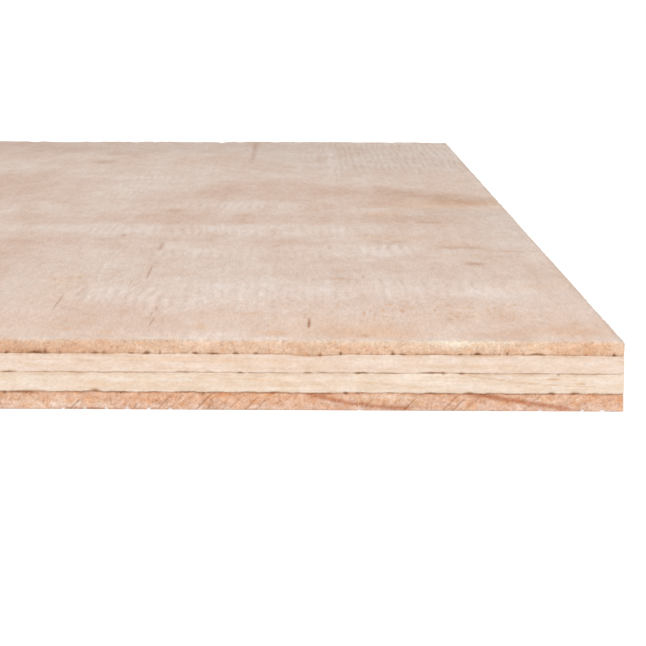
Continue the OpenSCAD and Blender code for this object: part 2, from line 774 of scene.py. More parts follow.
@dataclass(frozen=True)
class Split:
    """Open check in a bare face, a groove along the grain."""

    left: float
    back: float
    length: float
    depth: float = 0.45
    half_width: float = 0.22
    lean: float = 0.0  # Distance to the left for each millimetre back
    darkness: float = 0.9
    rim: float = 1.2  # Spread of its colour, in half widths
    closes_from: float = 0.25  # Share of its length before each end
    closes_by: float = 0.12  # And past each end
    tip: float = 0.5  # Length added to that
    pull: float = 3.0  # Least reach of its pull on the columns of points
    pull_columns: float = 2.5  # That reach in columns
    hold: float = 0.5  # Share of its length past each end where the pull lets go
    hold_tip: float = 4.0  # Length added to that
    crowd: Range = (1.0, 3.5)  # Distances, in columns, between which they are let go

    def line(self, back: Array) -> Array:
        """Distance of the split's line from the right edge, at each distance back."""
        return self.left + self.lean * (back - self.back)

    def past_end(self, back: Array) -> Array:
        """Distance of each place past the nearer end, below 0 along the split."""
        return np.abs(back - self.back) - self.length / 2

    def groove(self, left: Array, back: Array, spread: float = 1.0) -> Array:
        """How open the split is at each place.

        It is full along the split's line and falls evenly to nothing beside it, and by a smooth
        ramp past its ends.

        Args:
            left: Distance of each place from the right edge.
            back: Its distance from the front edge.
            spread: Half widths over which it falls beside the line.

        Returns:
            1 where the split is fully open, and 0 where there is none of it.
        """
        closed_by = self.closes_by * self.length + self.tip
        closed = smooth_step(-self.closes_from * self.length, closed_by, self.past_end(back))
        beside = np.abs(left - self.line(back)) / (spread * self.half_width)
        return (1.0 - closed) * np.maximum(0.0, 1.0 - beside)

    def paint(self, left: Array, back: Array, tint: Array) -> Array:
        """Tint with the split's dark line over it."""
        return stained(tint, self.darkness * self.groove(left, back, self.rim), Stain.SPLIT)

    def draw_in(self, left: Array, back: Array, columns: Array) -> Array:
        """Moves columns of points onto the split, so that its groove has points of its own.

        The nearest column slides onto the split's line, with its neighbours following less and
        less, and then all of them close in on the line, so that the next columns are its rims.

        Args:
            left: Places of the points, which lie in columns.
            back: Their distance from the front edge.
            columns: Place of each column.

        Returns:
            The new places to the left of the right edge.
        """
        nearest = np.abs(columns - self.left).argmin()
        pitch = abs(columns[nearest + 1] - columns[nearest - 1]) / 2
        reach = max(self.pull, self.pull_columns * pitch)
        near = np.clip(1.0 - np.square((left - columns[nearest]) / reach), 0.0, 1.0)
        let_go = self.hold * self.length + self.hold_tip
        held = 1.0 - smooth_step(0.0, let_go, self.past_end(back))
        target = self.line(back)
        left = left + held * np.square(near) * (target - columns[nearest])
        closing = 1.0 - min(1.0, self.half_width / pitch)
        beside = 1.0 - smooth_step(*self.crowd, np.abs(left - target) / pitch)
        return target + (left - target) * (1.0 - closing * held * beside)


@dataclass(frozen=True)
class Mark:
    """Soft mark on a bare face or on the front edge."""

    left: float
    up: float  # Distance back, or on the front edge the height in the veneer
    half_left: float
    half_up: float
    stain: Stain
    strength: float
    crisp: float = 1.0  # Share of half_up that the near half keeps
    firm: float = 3.0  # How sharply it ends, from 2 for a soft mark to 9
    wander: float = 4.0  # How far its outline wanders at most
    wander_share: float = 0.3  # And as a share of its half sizes

    def paint(self, left: Array, up: Array, stray: tuple[Array, Array], tint: Array) -> Array:
        """Tint with the mark over it: exp(-r^firm), where r is 1 on the mark's wandering oval.

        Args:
            left: Distance of each place from the right edge.
            up: Its distance from the front edge, or on that edge its height in the veneer.
            stray: Noises that make the mark wander to the left and up, the more the larger it is.
            tint: Colour factors so far.

        Returns:
            The new colour factors.
        """
        across = left - self.left + min(self.wander, self.wander_share * self.half_left) * stray[0]
        ahead = up - self.up + min(self.wander, self.wander_share * self.half_up) * stray[1]
        half = self.half_up * np.where(ahead < 0.0, self.crisp, 1.0)
        away = np.hypot(across / self.half_left, ahead / half)
        return stained(tint, self.strength * np.exp(-(away**self.firm)), self.stain)


@dataclass(frozen=True)
class RingBand:
    """Band of dark latewood that rises through a veneer to the left and runs along its grain."""

    left: float  # Distance of its right end from the right edge
    foot: float  # Height of that end above the veneer's floor side
    slope: float  # Rise for each millimetre to the left there
    bend: float  # Rise for each square millimetre beyond that
    reach: float  # Length that it runs to the left
    half: float
    strength: float
    stain: Stain = Stain.LATEWOOD
    drift: float = 0.03  # Distance to the left for each millimetre back
    right_fade: float = 1.5  # Half the length over which its right end fades
    left_fade: float = 2.0  # And its left end

    def paint(self, left: Array, back: Array, height: Array, tint: Array) -> Array:
        """Tint with the band over it, faded at its ends.

        Across the band, which is a bent plane, it is exp(-t^4), where t is 1 at half its thickness.

        Args:
            left: Distance of each place from the right edge.
            back: Distance from the front edge.
            height: Height above the veneer's floor side.
            tint: Colour factors so far.

        Returns:
            The new colour factors.
        """
        along = left - self.left - self.drift * back
        plane = self.foot + self.slope * along + self.bend * along**2
        right_end = smooth_step(-self.right_fade, self.right_fade, along)
        left_end = smooth_step(self.reach + self.left_fade, self.reach - self.left_fade, along)
        across = np.exp(-(((height - plane) / self.half) ** 4))
        return stained(tint, self.strength * right_end * left_end * across, self.stain)


@dataclass(frozen=True)
class KnifeRibs:
    """Faint ribs that the peeling knife left across a bare face, with painted shade in their grooves and
    painted light on their crests.
    """

    plan: SheetPlan
    seed: int
    every: float = 2.25  # Distance between ribs
    depth: float = 0.02
    strength: float = 0.8  # Strength of their painted shade and painted light
    bend: float = 3.0  # How far a noise shifts them, in radians of their wave
    bend_cell: Cell = (9.0, 50.0)
    whole: float = 0.6  # Mean share of a rib that is whole
    broken: float = 0.9  # How far a noise takes that share up and down
    break_length: float = 24.0  # Length of its cells along the grain
    zone_cell: Cell = (60.0, 20.0)
    zone_range: Range = (-0.3, 0.6)
    zone_shares: tuple[float, float] = (0.45, 0.9)  # Least share of the colour, and what its zones add
    pale_range: Range = (0.97, 1.07)  # Blue factors of the face where the colour sets in
    corner: float = 1.2  # Strength in the rear right corner
    corner_back: Range = (400.0, 480.0)  # Distances back where that sets in
    corner_left: Range = (60.0, 35.0)  # And distances left

    def wave(self, x: Array, back: Array) -> Array:
        """The ribs from -1 on a crest to 1 in a groove.

        A sine across the grain, bent by one noise and broken by another. It fades out where the
        columns of points are too far apart for it.

        Args:
            x: Places along X.
            back: Their distance from the front edge.

        Returns:
            The height of the wave at each place.
        """
        bent = Draw.RIB_BEND.noise(self.seed).sized(x, back, self.bend_cell, layers=2)
        breaks = Draw.RIB_BREAKS.noise(self.seed).sized(x, back, (self.every, self.break_length))
        whole = np.clip(self.whole + self.broken * breaks, 0.0, 1.0)
        sampled = self.plan.sampled(self.plan.left_of_edge(x))
        return sampled * whole * np.sin(math.tau * x / self.every + self.bend * bent)

    def sunk(self, x: Array, back: Array) -> Array:
        """Depth of the grooves below the crests."""
        return self.depth * np.maximum(0.0, self.wave(x, back))

    def paint(self, x: Array, back: Array, tint: Array) -> Array:
        """Tint with painted shade in the grooves and painted light on the crests, where the face is pale
        and at the rear right.

        Args:
            x: Places along X.
            back: Their distance from the front edge.
            tint: Colour factors so far.

        Returns:
            The new colour factors.
        """
        left = self.plan.left_of_edge(x)
        noise = Draw.FACE_COLOUR.noise(self.seed).sized(left, back, self.zone_cell, layers=2)
        zones = smooth_step(*self.zone_range, noise)
        least, added = self.zone_shares
        pale = (least + added * zones) * smooth_step(*self.pale_range, tint[..., 2])
        corner = smooth_step(*self.corner_back, back) * smooth_step(*self.corner_left, left)
        strength = self.strength * np.maximum(pale, self.corner * corner)
        # Painted shade where the wave is high, in the grooves, and painted light where it is low, on the
        # crests
        return mottled(tint, strength, self.wave(x, back), 1.0, Stain.RIB_GROOVE_SHADE)


class Nodes:
    """Node tree of one material, with a method for each kind of node that the finishes use."""

    def __init__(self, name: str) -> None:
        """Starts a material with its shader and output.

        Args:
            name: Name of the material.
        """
        self.material = bpy.data.materials.new(name)
        self.material.use_nodes = True
        self.tree = self.material.node_tree
        self.shader = self.tree.nodes["Principled BSDF"]

    def add(self, kind: str, **settings: object) -> bpy.types.Node:
        """New node of a kind, with its settings.

        Args:
            kind: Blender's name of the kind.
            settings: Value of each of its properties to set.

        Returns:
            The node.
        """
        node = self.tree.nodes.new(kind)
        for name, value in settings.items():
            setattr(node, name, value)
        return node

    def put(self, socket: Socket, value: object) -> None:
        """Links an output to a socket, or sets the socket's own value.

        Args:
            socket: Input of a node.
            value: Output of another node, or a plain value.
        """
        if isinstance(value, Socket):
            self.tree.links.new(value, socket)
        else:
            socket.default_value = value

    def fed(self, kind: str, inputs: dict, output: str | int, **settings: object) -> Socket:
        """New node of a kind, with its inputs linked or set.

        Args:
            kind: Blender's name of the kind.
            inputs: Output of another node or plain value for each input, by its name or number.
            output: Name or number of the wanted output.
            settings: Value of each of its properties to set.

        Returns:
            The output.
        """
        node = self.add(kind, **settings)
        for name, value in inputs.items():
            self.put(node.inputs[name], value)
        return node.outputs[output]

    def stretched(self, cell: SolidCell) -> Socket:
        """Object coordinates counted in cells of a size.

        Args:
            cell: Sides of a cell, in millimetres.

        Returns:
            The coordinates.
        """
        places = self.fed("ShaderNodeTexCoord", {}, "Object")
        scale = tuple(1.0 / (MM * side) for side in cell)
        return self.fed("ShaderNodeMapping", {"Vector": places, "Scale": scale}, "Vector")

    def noise(self, cell: SolidCell, detail: float, twist: float = 0.0) -> Socket:
        """Noise from 0 to 1, with a count of finer noises on it, distorted by a twist."""
        inputs = {"Vector": self.stretched(cell), "Scale": 1.0, "Detail": detail, "Distortion": twist}
        return self.fed("ShaderNodeTexNoise", inputs, "Fac")

    def remapped(self, value: Socket, source: Range, target: Range) -> Socket:
        """Value carried from one range to another along a smooth ramp."""
        inputs = dict(zip(RAMP_INPUTS, (value, *source, *target)))
        return self.fed("ShaderNodeMapRange", inputs, "Result", interpolation_type="SMOOTHSTEP")

    def maths(self, operation: str, first: object, second: object) -> Socket:
        """Result of one of Blender's operations on two numbers."""
        return self.fed("ShaderNodeMath", {0: first, 1: second}, 0, operation=operation)

    def mixed(self, share: object, first: object, second: object, way: str = "MIX") -> Socket:
        """Mix of two colours, with a share of the second, in one of Blender's ways."""
        inputs = {MIX_SHARE: share, MIX_FIRST: first, MIX_SECOND: second}
        return self.fed("ShaderNodeMix", inputs, MIX_RESULT, data_type="RGBA", blend_type=way)

    def tint(self) -> bpy.types.Node:
        """Colour factors that the piece's points hold, with the share of end grain as alpha."""
        return self.add("ShaderNodeAttribute", attribute_name=TINT)


@dataclass(frozen=True)
class Layer:
    """One noise in the pattern of a wood."""

    cell: SolidCell
    share: float  # Share of the pattern that it makes up
    detail: float = 3.0  # Count of finer noises on it


@dataclass(frozen=True)
class VeneerFinish:
    """Raw wood of a veneer, cut across and along by the sheet's faces.

    The pattern is solid: noises drawn out along the grain, which show as streaks on a face along
    the fibres and as pores on a face across them. It sets the share of pale and deep wood.
    """

    name: str
    grain: Grain
    pale: Colour
    deep: Colour
    speck: Colour
    layers: tuple[Layer, ...]  # Noises of the pattern, from fine fibres to long streaks
    grit: tuple[Layer, ...]  # Noises of the fine light and dark of torn fibres
    gritty: tuple[float, float]  # Strength of the grit along the grain and across it
    figure: SolidCell = (34.0, 150.0, 6.0)  # Cell of the growth figure
    figure_detail: float = 3.0
    figure_twist: float = 0.5
    figure_bands: float = 3.0  # Bands from its lowest to its highest place
    figure_range: Range = (0.05, 0.45)
    figured: float = 0.25  # Share of pale and deep wood that it sets
    contrast: float = 2.0  # Strength of the pattern along the grain
    end_contrast: float = 3.2  # And across it
    relief: float = 0.08  # Height of the pattern
    specks: float = 0.4
    speck_cell: SolidCell = (1.0, 6.0, 0.7)
    speck_detail: float = 1.0
    speck_range: Range = (0.60, 0.74)
    blotch_cell: SolidCell = (9.0, 16.0, 9.0)  # Blotches in which specks are many or few
    blotch_detail: float = 2.0
    rough_range: Range = (0.3, 0.7)
    roughness: tuple[float, float] = (0.92, 0.76)  # Roughness of deep and of pale fibres
    shine: float = 0.3  # Specular level

    @staticmethod
    def summed(nodes: Nodes, layers: tuple[Layer, ...]) -> Socket:
        """Sum of the layers' noises, each times its share.

        Args:
            nodes: Node tree that it goes into.
            layers: The layers, whose shares add up to 1.

        Returns:
            The sum, about 0.5 on the mean.
        """
        total: Socket | float = 0.0
        for layer in layers:
            part = nodes.maths("MULTIPLY", nodes.noise(layer.cell, layer.detail), layer.share)
            total = nodes.maths("ADD", total, part)
        return total

    @cache
    def material(self) -> bpy.types.Material:
        """Builds the node tree once: figure, pattern and specks, times the tint of the points.

        Returns:
            The material, which veneers of the same wood share.
        """
        nodes = Nodes(self.name)
        mean = 0.5
        turn = 0.5  # Part of a band at which its colour turns back
        figure = nodes.noise(self.figure, self.figure_detail, self.figure_twist)
        blotch = nodes.noise(self.blotch_cell, self.blotch_detail)
        speck = nodes.noise(self.speck_cell, self.speck_detail)
        tint = nodes.tint()
        pattern, grit = self.summed(nodes, self.layers), self.summed(nodes, self.grit)

        end_grain = tint.outputs["Alpha"]
        strength = nodes.remapped(end_grain, (0.0, 1.0), (self.contrast, self.end_contrast))
        swing = nodes.maths("MULTIPLY", nodes.maths("SUBTRACT", pattern, mean), strength)
        bands = nodes.maths("PINGPONG", nodes.maths("MULTIPLY", figure, self.figure_bands), turn)
        half = self.figured / 2
        middle = nodes.remapped(bands, self.figure_range, (mean - half, mean + half))
        share = nodes.maths("ADD", middle, swing)
        colour = nodes.mixed(share, (*self.deep, 1.0), (*self.pale, 1.0))
        crowd = nodes.remapped(speck, self.speck_range, (0.0, self.specks))
        spots = nodes.maths("MULTIPLY", crowd, blotch)
        colour = nodes.mixed(spots, colour, (*self.speck, 1.0))
        colour = nodes.mixed(1.0, colour, tint.outputs["Color"], "MULTIPLY")
        depth = nodes.remapped(end_grain, (0.0, 1.0), self.gritty)
        grain = nodes.maths("MULTIPLY", nodes.maths("SUBTRACT", grit, mean), depth)
        light = nodes.maths("ADD", 1.0, grain)
        colour = nodes.mixed(1.0, colour, light, "MULTIPLY")
        nodes.put(nodes.shader.inputs["Base Color"], colour)

        roughness = nodes.remapped(pattern, self.rough_range, self.roughness)
        nodes.put(nodes.shader.inputs["Roughness"], roughness)
        relief = {"Height": pattern, "Distance": self.relief * MM}
        nodes.put(nodes.shader.inputs["Normal"], nodes.fed("ShaderNodeBump", relief, "Normal"))
        nodes.put(nodes.shader.inputs["Specular IOR Level"], self.shine)
        return nodes.material


@dataclass
class Band:
    """Edge of a veneer all round the sheet: rows of points from its lower boundary to its upper one."""

    outline: Outline
    height: Array  # Height of each point, of shape (rows, points of the outline)
    below: Array  # Distance of each point from the lower boundary
    above: Array  # Distance of each point from the upper boundary


@dataclass
class Veneer:
    """One veneer of the sheet, with its edge all round and its two broad sides."""

    plan: SheetPlan
    node: str  # CAD node that it stands for
    piece: str  # Name of the piece
    slot: str  # Name of a material slot
    finish: VeneerFinish
    lower: Boundary
    upper: Boundary
    bare: Bare  # Broad side that shows
    seed: int
    end_tint: Colour  # Colour factors of the edges that cut across the grain
    side_tint: Colour  # And of those along it
    rings: tuple[RingBand, ...] = ()
    edge_marks: tuple[Mark, ...] = ()  # On the front edge
    stray_cell: Cell = (2.0, 1.4)  # Makes the marks' outlines wander
    stray_shift: float = 40.0  # Cells between its two noises
    mottle: float = 0.0  # Orange and pale mottling across the grain
    mottle_cell: Cell = (2.6, 1.0)
    mottle_reach: float = 0.6  # Noise at which the mottling is full
    pores: float = 0.0  # Colour of the open pores there
    pore_cell: Cell = (0.6, 0.55)
    pore_range: Range = (0.45, 0.8)
    pore_depth: float = 0.08
    clump_cell: Cell = (2.4, 1.3)
    clump_depth: float = 0.06  # Clumps of fibres across the grain
    streak_cell: Cell = (9.0, 0.4)
    streak_depth: float = 0.05  # Streaks along it
    bow_cells: tuple[float, float] = (27.0, 8.0)  # Lengths of two slow waves along it
    bow_rise: float = 9.0  # Height over which they change
    bow_depth: float = 0.04
    saw_cell: Cell = (0.4, 6.0)
    saw_depth: float = 0.012  # Saw marks in all edges
    steps: int = 14  # Steps of the edge between its boundaries
    strip: float = 0.06  # Share of the layout's height that each edge takes
    strip_inset: float = 0.04  # Share of it that stays free above and below
    flat_strip: float = 0.03  # And each glued side
    flat_inset: float = 0.002  # Height of it that stays free above and below
    bare_start: float = 0.065  # Height of the bare side above the edges' strips

    def band(self, outline: Outline) -> Band:
        """Rows between the boundaries, set by a cosine so that they crowd near both of them.

        Args:
            outline: The sheet's outline.

        Returns:
            The rows of the edge.
        """
        share = (1.0 - np.cos(np.pi * np.arange(self.steps + 1) / self.steps)) / 2.0
        low, high = self.lower.level(outline), self.upper.level(outline)
        height = low + share[:, None] * (high - low)
        return Band(outline, height, height - low, high - height)

    def across_grain(self, outline: Outline) -> Array:
        """1 where the edge cuts across the grain, and 0 where it runs along it."""
        along_y = self.finish.grain is Grain.ALONG_Y
        return outline.on(*((Side.FRONT, Side.REAR) if along_y else (Side.RIGHT, Side.LEFT)))

    def pore_noise(self, band: Band) -> Array:
        """Noise whose high places are the open pores of the end grain."""
        noise = Draw.GRAIN.noise(self.seed)
        return noise.sized(band.outline.walked, band.height, self.pore_cell, layers=2)

    def relief(self, band: Band) -> Array:
        """Depth of the sawn texture.

        Pores and clumps of fibres across the grain, streaks and slow waves along it, and saw marks
        in both, each a noise of its own size times its depth.

        Args:
            band: Rows of the edge.

        Returns:
            The depth at each point.
        """
        walked, height = band.outline.walked, band.height
        noise = Draw.GRAIN.noise(self.seed)
        pores = self.pore_depth * np.maximum(0.0, self.pore_noise(band))
        clumps = self.clump_depth * (1.0 + noise.sized(walked, height, self.clump_cell))
        streaks = self.streak_depth * np.maximum(0.0, noise.sized(walked, height, self.streak_cell))
        bows = sum(1.0 + noise.sized(walked, height, (cell, self.bow_rise)) for cell in self.bow_cells)
        saw = self.saw_depth * (1.0 + Draw.SAW.noise(self.seed).sized(walked, height, self.saw_cell))
        ends = self.across_grain(band.outline)
        return ends * (pores + clumps) + (1.0 - ends) * (streaks + self.bow_depth * bows) + saw

    def edge_setback(self, band: Band) -> Array:
        """How far each point lies inside the outline: its sawn texture and what the boundaries add."""
        below = self.lower.setback(band.outline, band.below, True)
        return self.relief(band) + below + self.upper.setback(band.outline, band.above, False)

    def edge_paint(self, band: Band) -> Array:
        """Colour factors of the edge: its cut, latewood, marks, mottling and pores, and its boundaries.

        Args:
            band: Rows of the edge.

        Returns:
            The colour factors, with a last axis of 3.
        """
        walked, height = band.outline.walked, band.height
        ends = self.across_grain(band.outline)
        tint = np.where(ends[:, None] > 0.0, self.end_tint, self.side_tint)
        tint = np.broadcast_to(tint, (*height.shape, 3))
        tint = self.paint_rings(band.outline.x, band.outline.y, band.below, tint)
        noise = Draw.EDGE_COLOUR.noise(self.seed)
        along, up = walked / self.stray_cell[0], height / self.stray_cell[1]
        stray = (noise.layered(along, up), noise.layered(along + self.stray_shift, up))
        for mark in self.edge_marks:
            tint = mark.paint(band.outline.left(), band.below, stray, tint)
        mottle = noise.sized(walked, height, self.mottle_cell, layers=3)
        tint = mottled(tint, self.mottle * ends, mottle, self.mottle_reach, Stain.ORANGE)
        opened = smooth_step(*self.pore_range, self.pore_noise(band))
        tint = stained(tint, self.pores * ends * opened, Stain.PORE)
        tint = self.lower.paint(band.outline, band.below, True, tint)
        return self.upper.paint(band.outline, band.above, False, tint)

    def paint_rings(self, x: Array, y: Array, height: Array, tint: Array) -> Array:
        """Tint with the bands of latewood over it.

        Args:
            x: Places along X.
            y: Places along Y.
            height: Height above the veneer's lower side.
            tint: Colour factors so far.

        Returns:
            The new colour factors.
        """
        left, back = self.plan.left_of_edge(x), self.plan.back_of_edge(y)
        for ring in self.rings:
            tint = ring.paint(left, back, height, tint)
        return tint

    def build(self) -> bpy.types.Object:
        """Makes the closed piece: the edge, and a bare face or a flat one over each broad side.

        Returns:
            The piece.
        """
        shell = Shell()
        outline = self.plan.outline()
        band = self.band(outline)
        setback = self.edge_setback(band)
        x, y = outline.x - outline.out_x * setback, outline.y - outline.out_y * setback
        end_grain = np.broadcast_to(self.across_grain(outline), band.height.shape)
        numbers = shell.add_points(x, y, band.height, self.edge_paint(band), end_grain)
        self.close_edge(shell, outline, numbers)
        for ring, side in ((numbers[0], Bare.UNDERSIDE), (numbers[-1], Bare.TOP)):
            if side is self.bare:
                self.close_bare(shell, outline, ring)
            else:
                self.close_flat(shell, ring, upward=side is Bare.TOP)
        return shell.fill(self.piece)

    def dress(self, piece: bpy.types.Object) -> None:
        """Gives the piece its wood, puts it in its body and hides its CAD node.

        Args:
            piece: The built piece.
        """
        piece.data.materials.append(self.finish.material())
        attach(piece, "root")
        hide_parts(self.node)

    def close_edge(self, shell: Shell, outline: Outline, numbers: Array) -> None:
        """Adds the edge's faces, with one strip of the layout to each side of the sheet.

        Args:
            shell: Shell that the faces go to.
            outline: The sheet's outline.
            numbers: Numbers of the edge's points, of shape (rows, points of the outline).
        """
        following = np.roll(numbers, -1, axis=1)
        corners = np.stack([numbers[:-1], following[:-1], following[1:], numbers[1:]], axis=-1)
        starts, counts = np.array(outline.starts[:-1]), np.diff(outline.starts)
        place = np.arange(len(outline.x)) - starts[outline.side]
        near, far = place / counts[outline.side], (place + 1) / counts[outline.side]
        filled = 1.0 - 2 * self.strip_inset
        share = self.strip_inset + filled * np.arange(len(numbers))[:, None] / self.steps
        rise = (outline.side + share) * self.strip
        across = np.broadcast_to(np.stack([near, far, far, near], axis=-1), corners.shape)
        up = np.stack([rise[:-1], rise[:-1], rise[1:], rise[1:]], axis=-1)
        shell.add_faces(corners.reshape(-1, 4), np.stack([across, up], axis=-1).reshape(-1, 4, 2))

    def flat_layout(self, shell: Shell, corners: Array, low: float, high: float) -> Array:
        """Layout of faces seen in plan, within a strip of the layout's height.

        Args:
            shell: Shell that holds the points.
            corners: Numbers of the faces' corners.
            low: Lower side of the strip.
            high: Upper side of the strip.

        Returns:
            The places on the layout, in the shape of corners with 2 more.
        """
        places = shell.places(corners)
        across = 0.5 + places[..., 0] / (2 * self.plan.half_x)
        up = 0.5 + places[..., 1] / (2 * self.plan.half_y)
        return np.stack([across, low + (high - low) * up], axis=-1)

    def close_flat(self, shell: Shell, ring: Array, upward: bool) -> None:
        """Closes a glued side with one face round the ring of points.

        Args:
            shell: Shell that the face goes to.
            ring: Numbers of the edge's points round that side.
            upward: True for the upper side.
        """
        corners = (ring if upward else ring[::-1])[None, :]
        low = len(Side) * self.strip + (self.flat_strip if upward else 0.0)
        high = low + self.flat_strip
        layout = self.flat_layout(shell, corners, low + self.flat_inset, high - self.flat_inset)
        shell.add_faces(corners, layout)

    def close_bare(self, shell: Shell, outline: Outline, ring: Array) -> None:
        """Closes a bare side. Only outer veneers have one."""
        raise NotImplementedError


@dataclass
class OuterVeneer(Veneer):
    """Face or back veneer: one broad side shows, rough from peeling."""

    splits: tuple[Split, ...] = ()
    marks: tuple[Mark, ...] = ()
    outline_cell: Cell = (9.0, 40.0)  # Makes the marks' outlines wander
    outline_shift: float = 50.0  # Cells between its two noises
    speckled: tuple[tuple[float, float, float], ...] = ()  # Distance left and back, and half size
    speck_cell: Cell = (0.9, 5.0)
    speck_range: Range = (0.2, 0.75)
    speck_strength: float = 1.2
    wave: float = 0.05  # Height of the slow waves
    wave_cell: Cell = (38.0, 150.0)
    wool: float = 0.03  # Height of the woolly torn grain
    wool_cell: Cell = (1.6, 10.0)
    wool_range: Range = (190.0, 120.0)  # Distances back where it fades out
    swing: float = 0.6  # Share by which waves and wool rise and fall
    wear: Range = (16.0, 2.0)  # Distances from the rear edge where it falls to its worn arris
    blotch: float = 0.15  # Strength of the pink and pale blotches
    blotch_cell: Cell = (5.0, 40.0)
    blotch_reach: float = 0.8  # Noise at which a blotch is full
    lip: float = 5.0  # How far the end grain's colour runs over the front arris
    lip_cell: float = 1.1
    lip_row: float = 3.5  # Row of the lattice for the tongues in which it runs
    lip_rise: float = 0.4  # Noise added before its higher part is taken
    lip_soft: float = 1.0  # Length over which their tips fade
    lip_strength: float = 0.6

    def ribs(self) -> KnifeRibs:
        """The knife's ribs in the bare face."""
        return KnifeRibs(self.plan, self.seed)

    def bare_boundary(self) -> Arris:
        """The arris round the bare face."""
        return self.upper if self.bare is Bare.TOP else self.lower

    def face_points(self) -> tuple[Array, Array]:
        """Inner points of the bare face, in rows and columns, with columns drawn to the splits.

        Returns:
            The places along X and along Y.
        """
        plan = self.plan
        columns = plan.front_points()[:: plan.per_column][1:-1] * (1.0 - plan.margin / plan.half_x)
        rows = plan.rows()[1:-1] * (1.0 - plan.margin / plan.half_y)
        x, y = np.meshgrid(columns, rows)
        left, back = plan.left_of_edge(x), plan.back_of_edge(y)
        for split in self.splits:
            left = split.draw_in(left, back, plan.left_of_edge(columns))
        return plan.half_x - left, y

    def close_up(self, left: Array, back: Array) -> Array:
        """1 where rows and columns are close together, and 0 where they are too far apart for wool."""
        return self.plan.sampled(left) * smooth_step(*self.wool_range, back)

    def sunk(self, x: Array, y: Array) -> Array:
        """Depth of the bare face below its outer plane: waves, ribs, wool, wear at the rear and splits.

        Args:
            x: Places along X.
            y: Places along Y.

        Returns:
            The depth at each place.
        """
        noise = Draw.FACE_RELIEF.noise(self.seed)
        left, back = self.plan.left_of_edge(x), self.plan.back_of_edge(y)
        waves = 1.0 + self.swing * noise.sized(x, y, self.wave_cell, layers=2)
        wool = self.close_up(left, back) * (1.0 + self.swing * noise.sized(x, y, self.wool_cell, layers=2))
        worn = smooth_step(*self.wear, 2 * self.plan.half_y - back) * self.bare_boundary().rear_bumps(x)
        depth = self.wave * waves + self.ribs().sunk(x, back) + self.wool * wool + worn
        for split in self.splits:
            depth = depth + split.depth * split.groove(left, back)
        return np.maximum(0.0, depth)

    def face_paint(self, x: Array, y: Array, height: Array) -> Array:
        """Colour factors of the bare face.

        Latewood comes first, then blotches, marks with wandering edges, painted shade and light on the
        knife's ribs, specks where a noise stands high in a speckled place, end grain over the front arris,
        and splits.

        Args:
            x: Places along X.
            y: Places along Y.
            height: Height above the veneer's lower side.

        Returns:
            The colour factors, with a last axis of 3.
        """
        left, back = self.plan.left_of_edge(x), self.plan.back_of_edge(y)
        noise = Draw.FACE_COLOUR.noise(self.seed)
        tint = self.paint_rings(x, y, height, np.ones((*x.shape, 3)))
        blotches = noise.sized(x, y, self.blotch_cell, layers=3)
        tint = mottled(tint, self.blotch, blotches, self.blotch_reach, Stain.PINK)
        across, along = left / self.outline_cell[0], back / self.outline_cell[1]
        stray = (noise.layered(across, along), noise.layered(across + self.outline_shift, along))
        for mark in self.marks:
            tint = mark.paint(left, back, stray, tint)
        # The knife's ribs: painted shade in their grooves and painted light on their crests
        tint = self.ribs().paint(x, back, tint)
        tint = stained(tint, self.specks(x, y) * self.close_up(left, back), Stain.FLECK)
        run_over = self.run_over(x, back)[..., None]
        tint = tint * (1.0 + run_over * (np.array(self.end_tint) - 1.0))
        for split in self.splits:
            tint = split.paint(left, back, tint)
        return tint

    def specks(self, x: Array, y: Array) -> Array:
        """Strength of the specks: a noise's higher part, times a bell round each speckled place.

        Args:
            x: Places along X.
            y: Places along Y.

        Returns:
            The strength at each place.
        """
        left, back = self.plan.left_of_edge(x), self.plan.back_of_edge(y)
        crowds = [bell(np.hypot(left - middle, back - deep), half) for middle, deep, half in self.speckled]
        noise = Draw.FACE_COLOUR.noise(self.seed).sized(x, y, self.speck_cell, layers=2)
        crowd = sum(crowds, np.zeros_like(x))
        return self.speck_strength * crowd * smooth_step(*self.speck_range, noise)

    def run_over(self, x: Array, back: Array) -> Array:
        """Share of the end grain's colour, in tongues as long as a noise's higher part times the lip.

        Args:
            x: Places along X.
            back: Their distance from the front edge.

        Returns:
            The share at each place.
        """
        noise = Draw.FACE_COLOUR.noise(self.seed)
        rise = self.lip_rise + noise.layered(x / self.lip_cell, np.array(self.lip_row), layers=2)
        tongue = self.lip * np.maximum(0.0, rise)
        return self.lip_strength * smooth_step(tongue + self.lip_soft, 0.0, back)

    def close_bare(self, shell: Shell, outline: Outline, ring: Array) -> None:
        """Closes the bare side with rows and columns of faces that meet the ring point for point.

        The cells next to the front, left and right edges have more corners than four, because the
        edges have more points than the rows and columns.

        Args:
            shell: Shell that the points and faces go to.
            outline: The sheet's outline.
            ring: Numbers of the edge's points round the bare side.
        """
        plan = self.plan
        x, y = self.face_points()
        upward = self.bare is Bare.TOP
        arris = self.bare_boundary()
        height = arris.height + arris.inward * self.sunk(x, y)
        tint = self.face_paint(x, y, height - self.lower.height)
        inner = shell.add_points(x, y, height, tint, np.zeros_like(x))
        front, right, rear, left, end = outline.starts
        ring = np.append(ring, ring[0])
        grid = np.empty((inner.shape[0] + 2, inner.shape[1] + 2), dtype=np.int64)
        grid[1:-1, 1:-1] = inner
        grid[0] = ring[front : right + 1 : plan.per_column]
        grid[:, -1] = ring[right : rear + 1 : plan.per_row]
        grid[-1] = ring[rear : left + 1][::-1]
        grid[:, 0] = ring[left : end + 1 : plan.per_row][::-1]

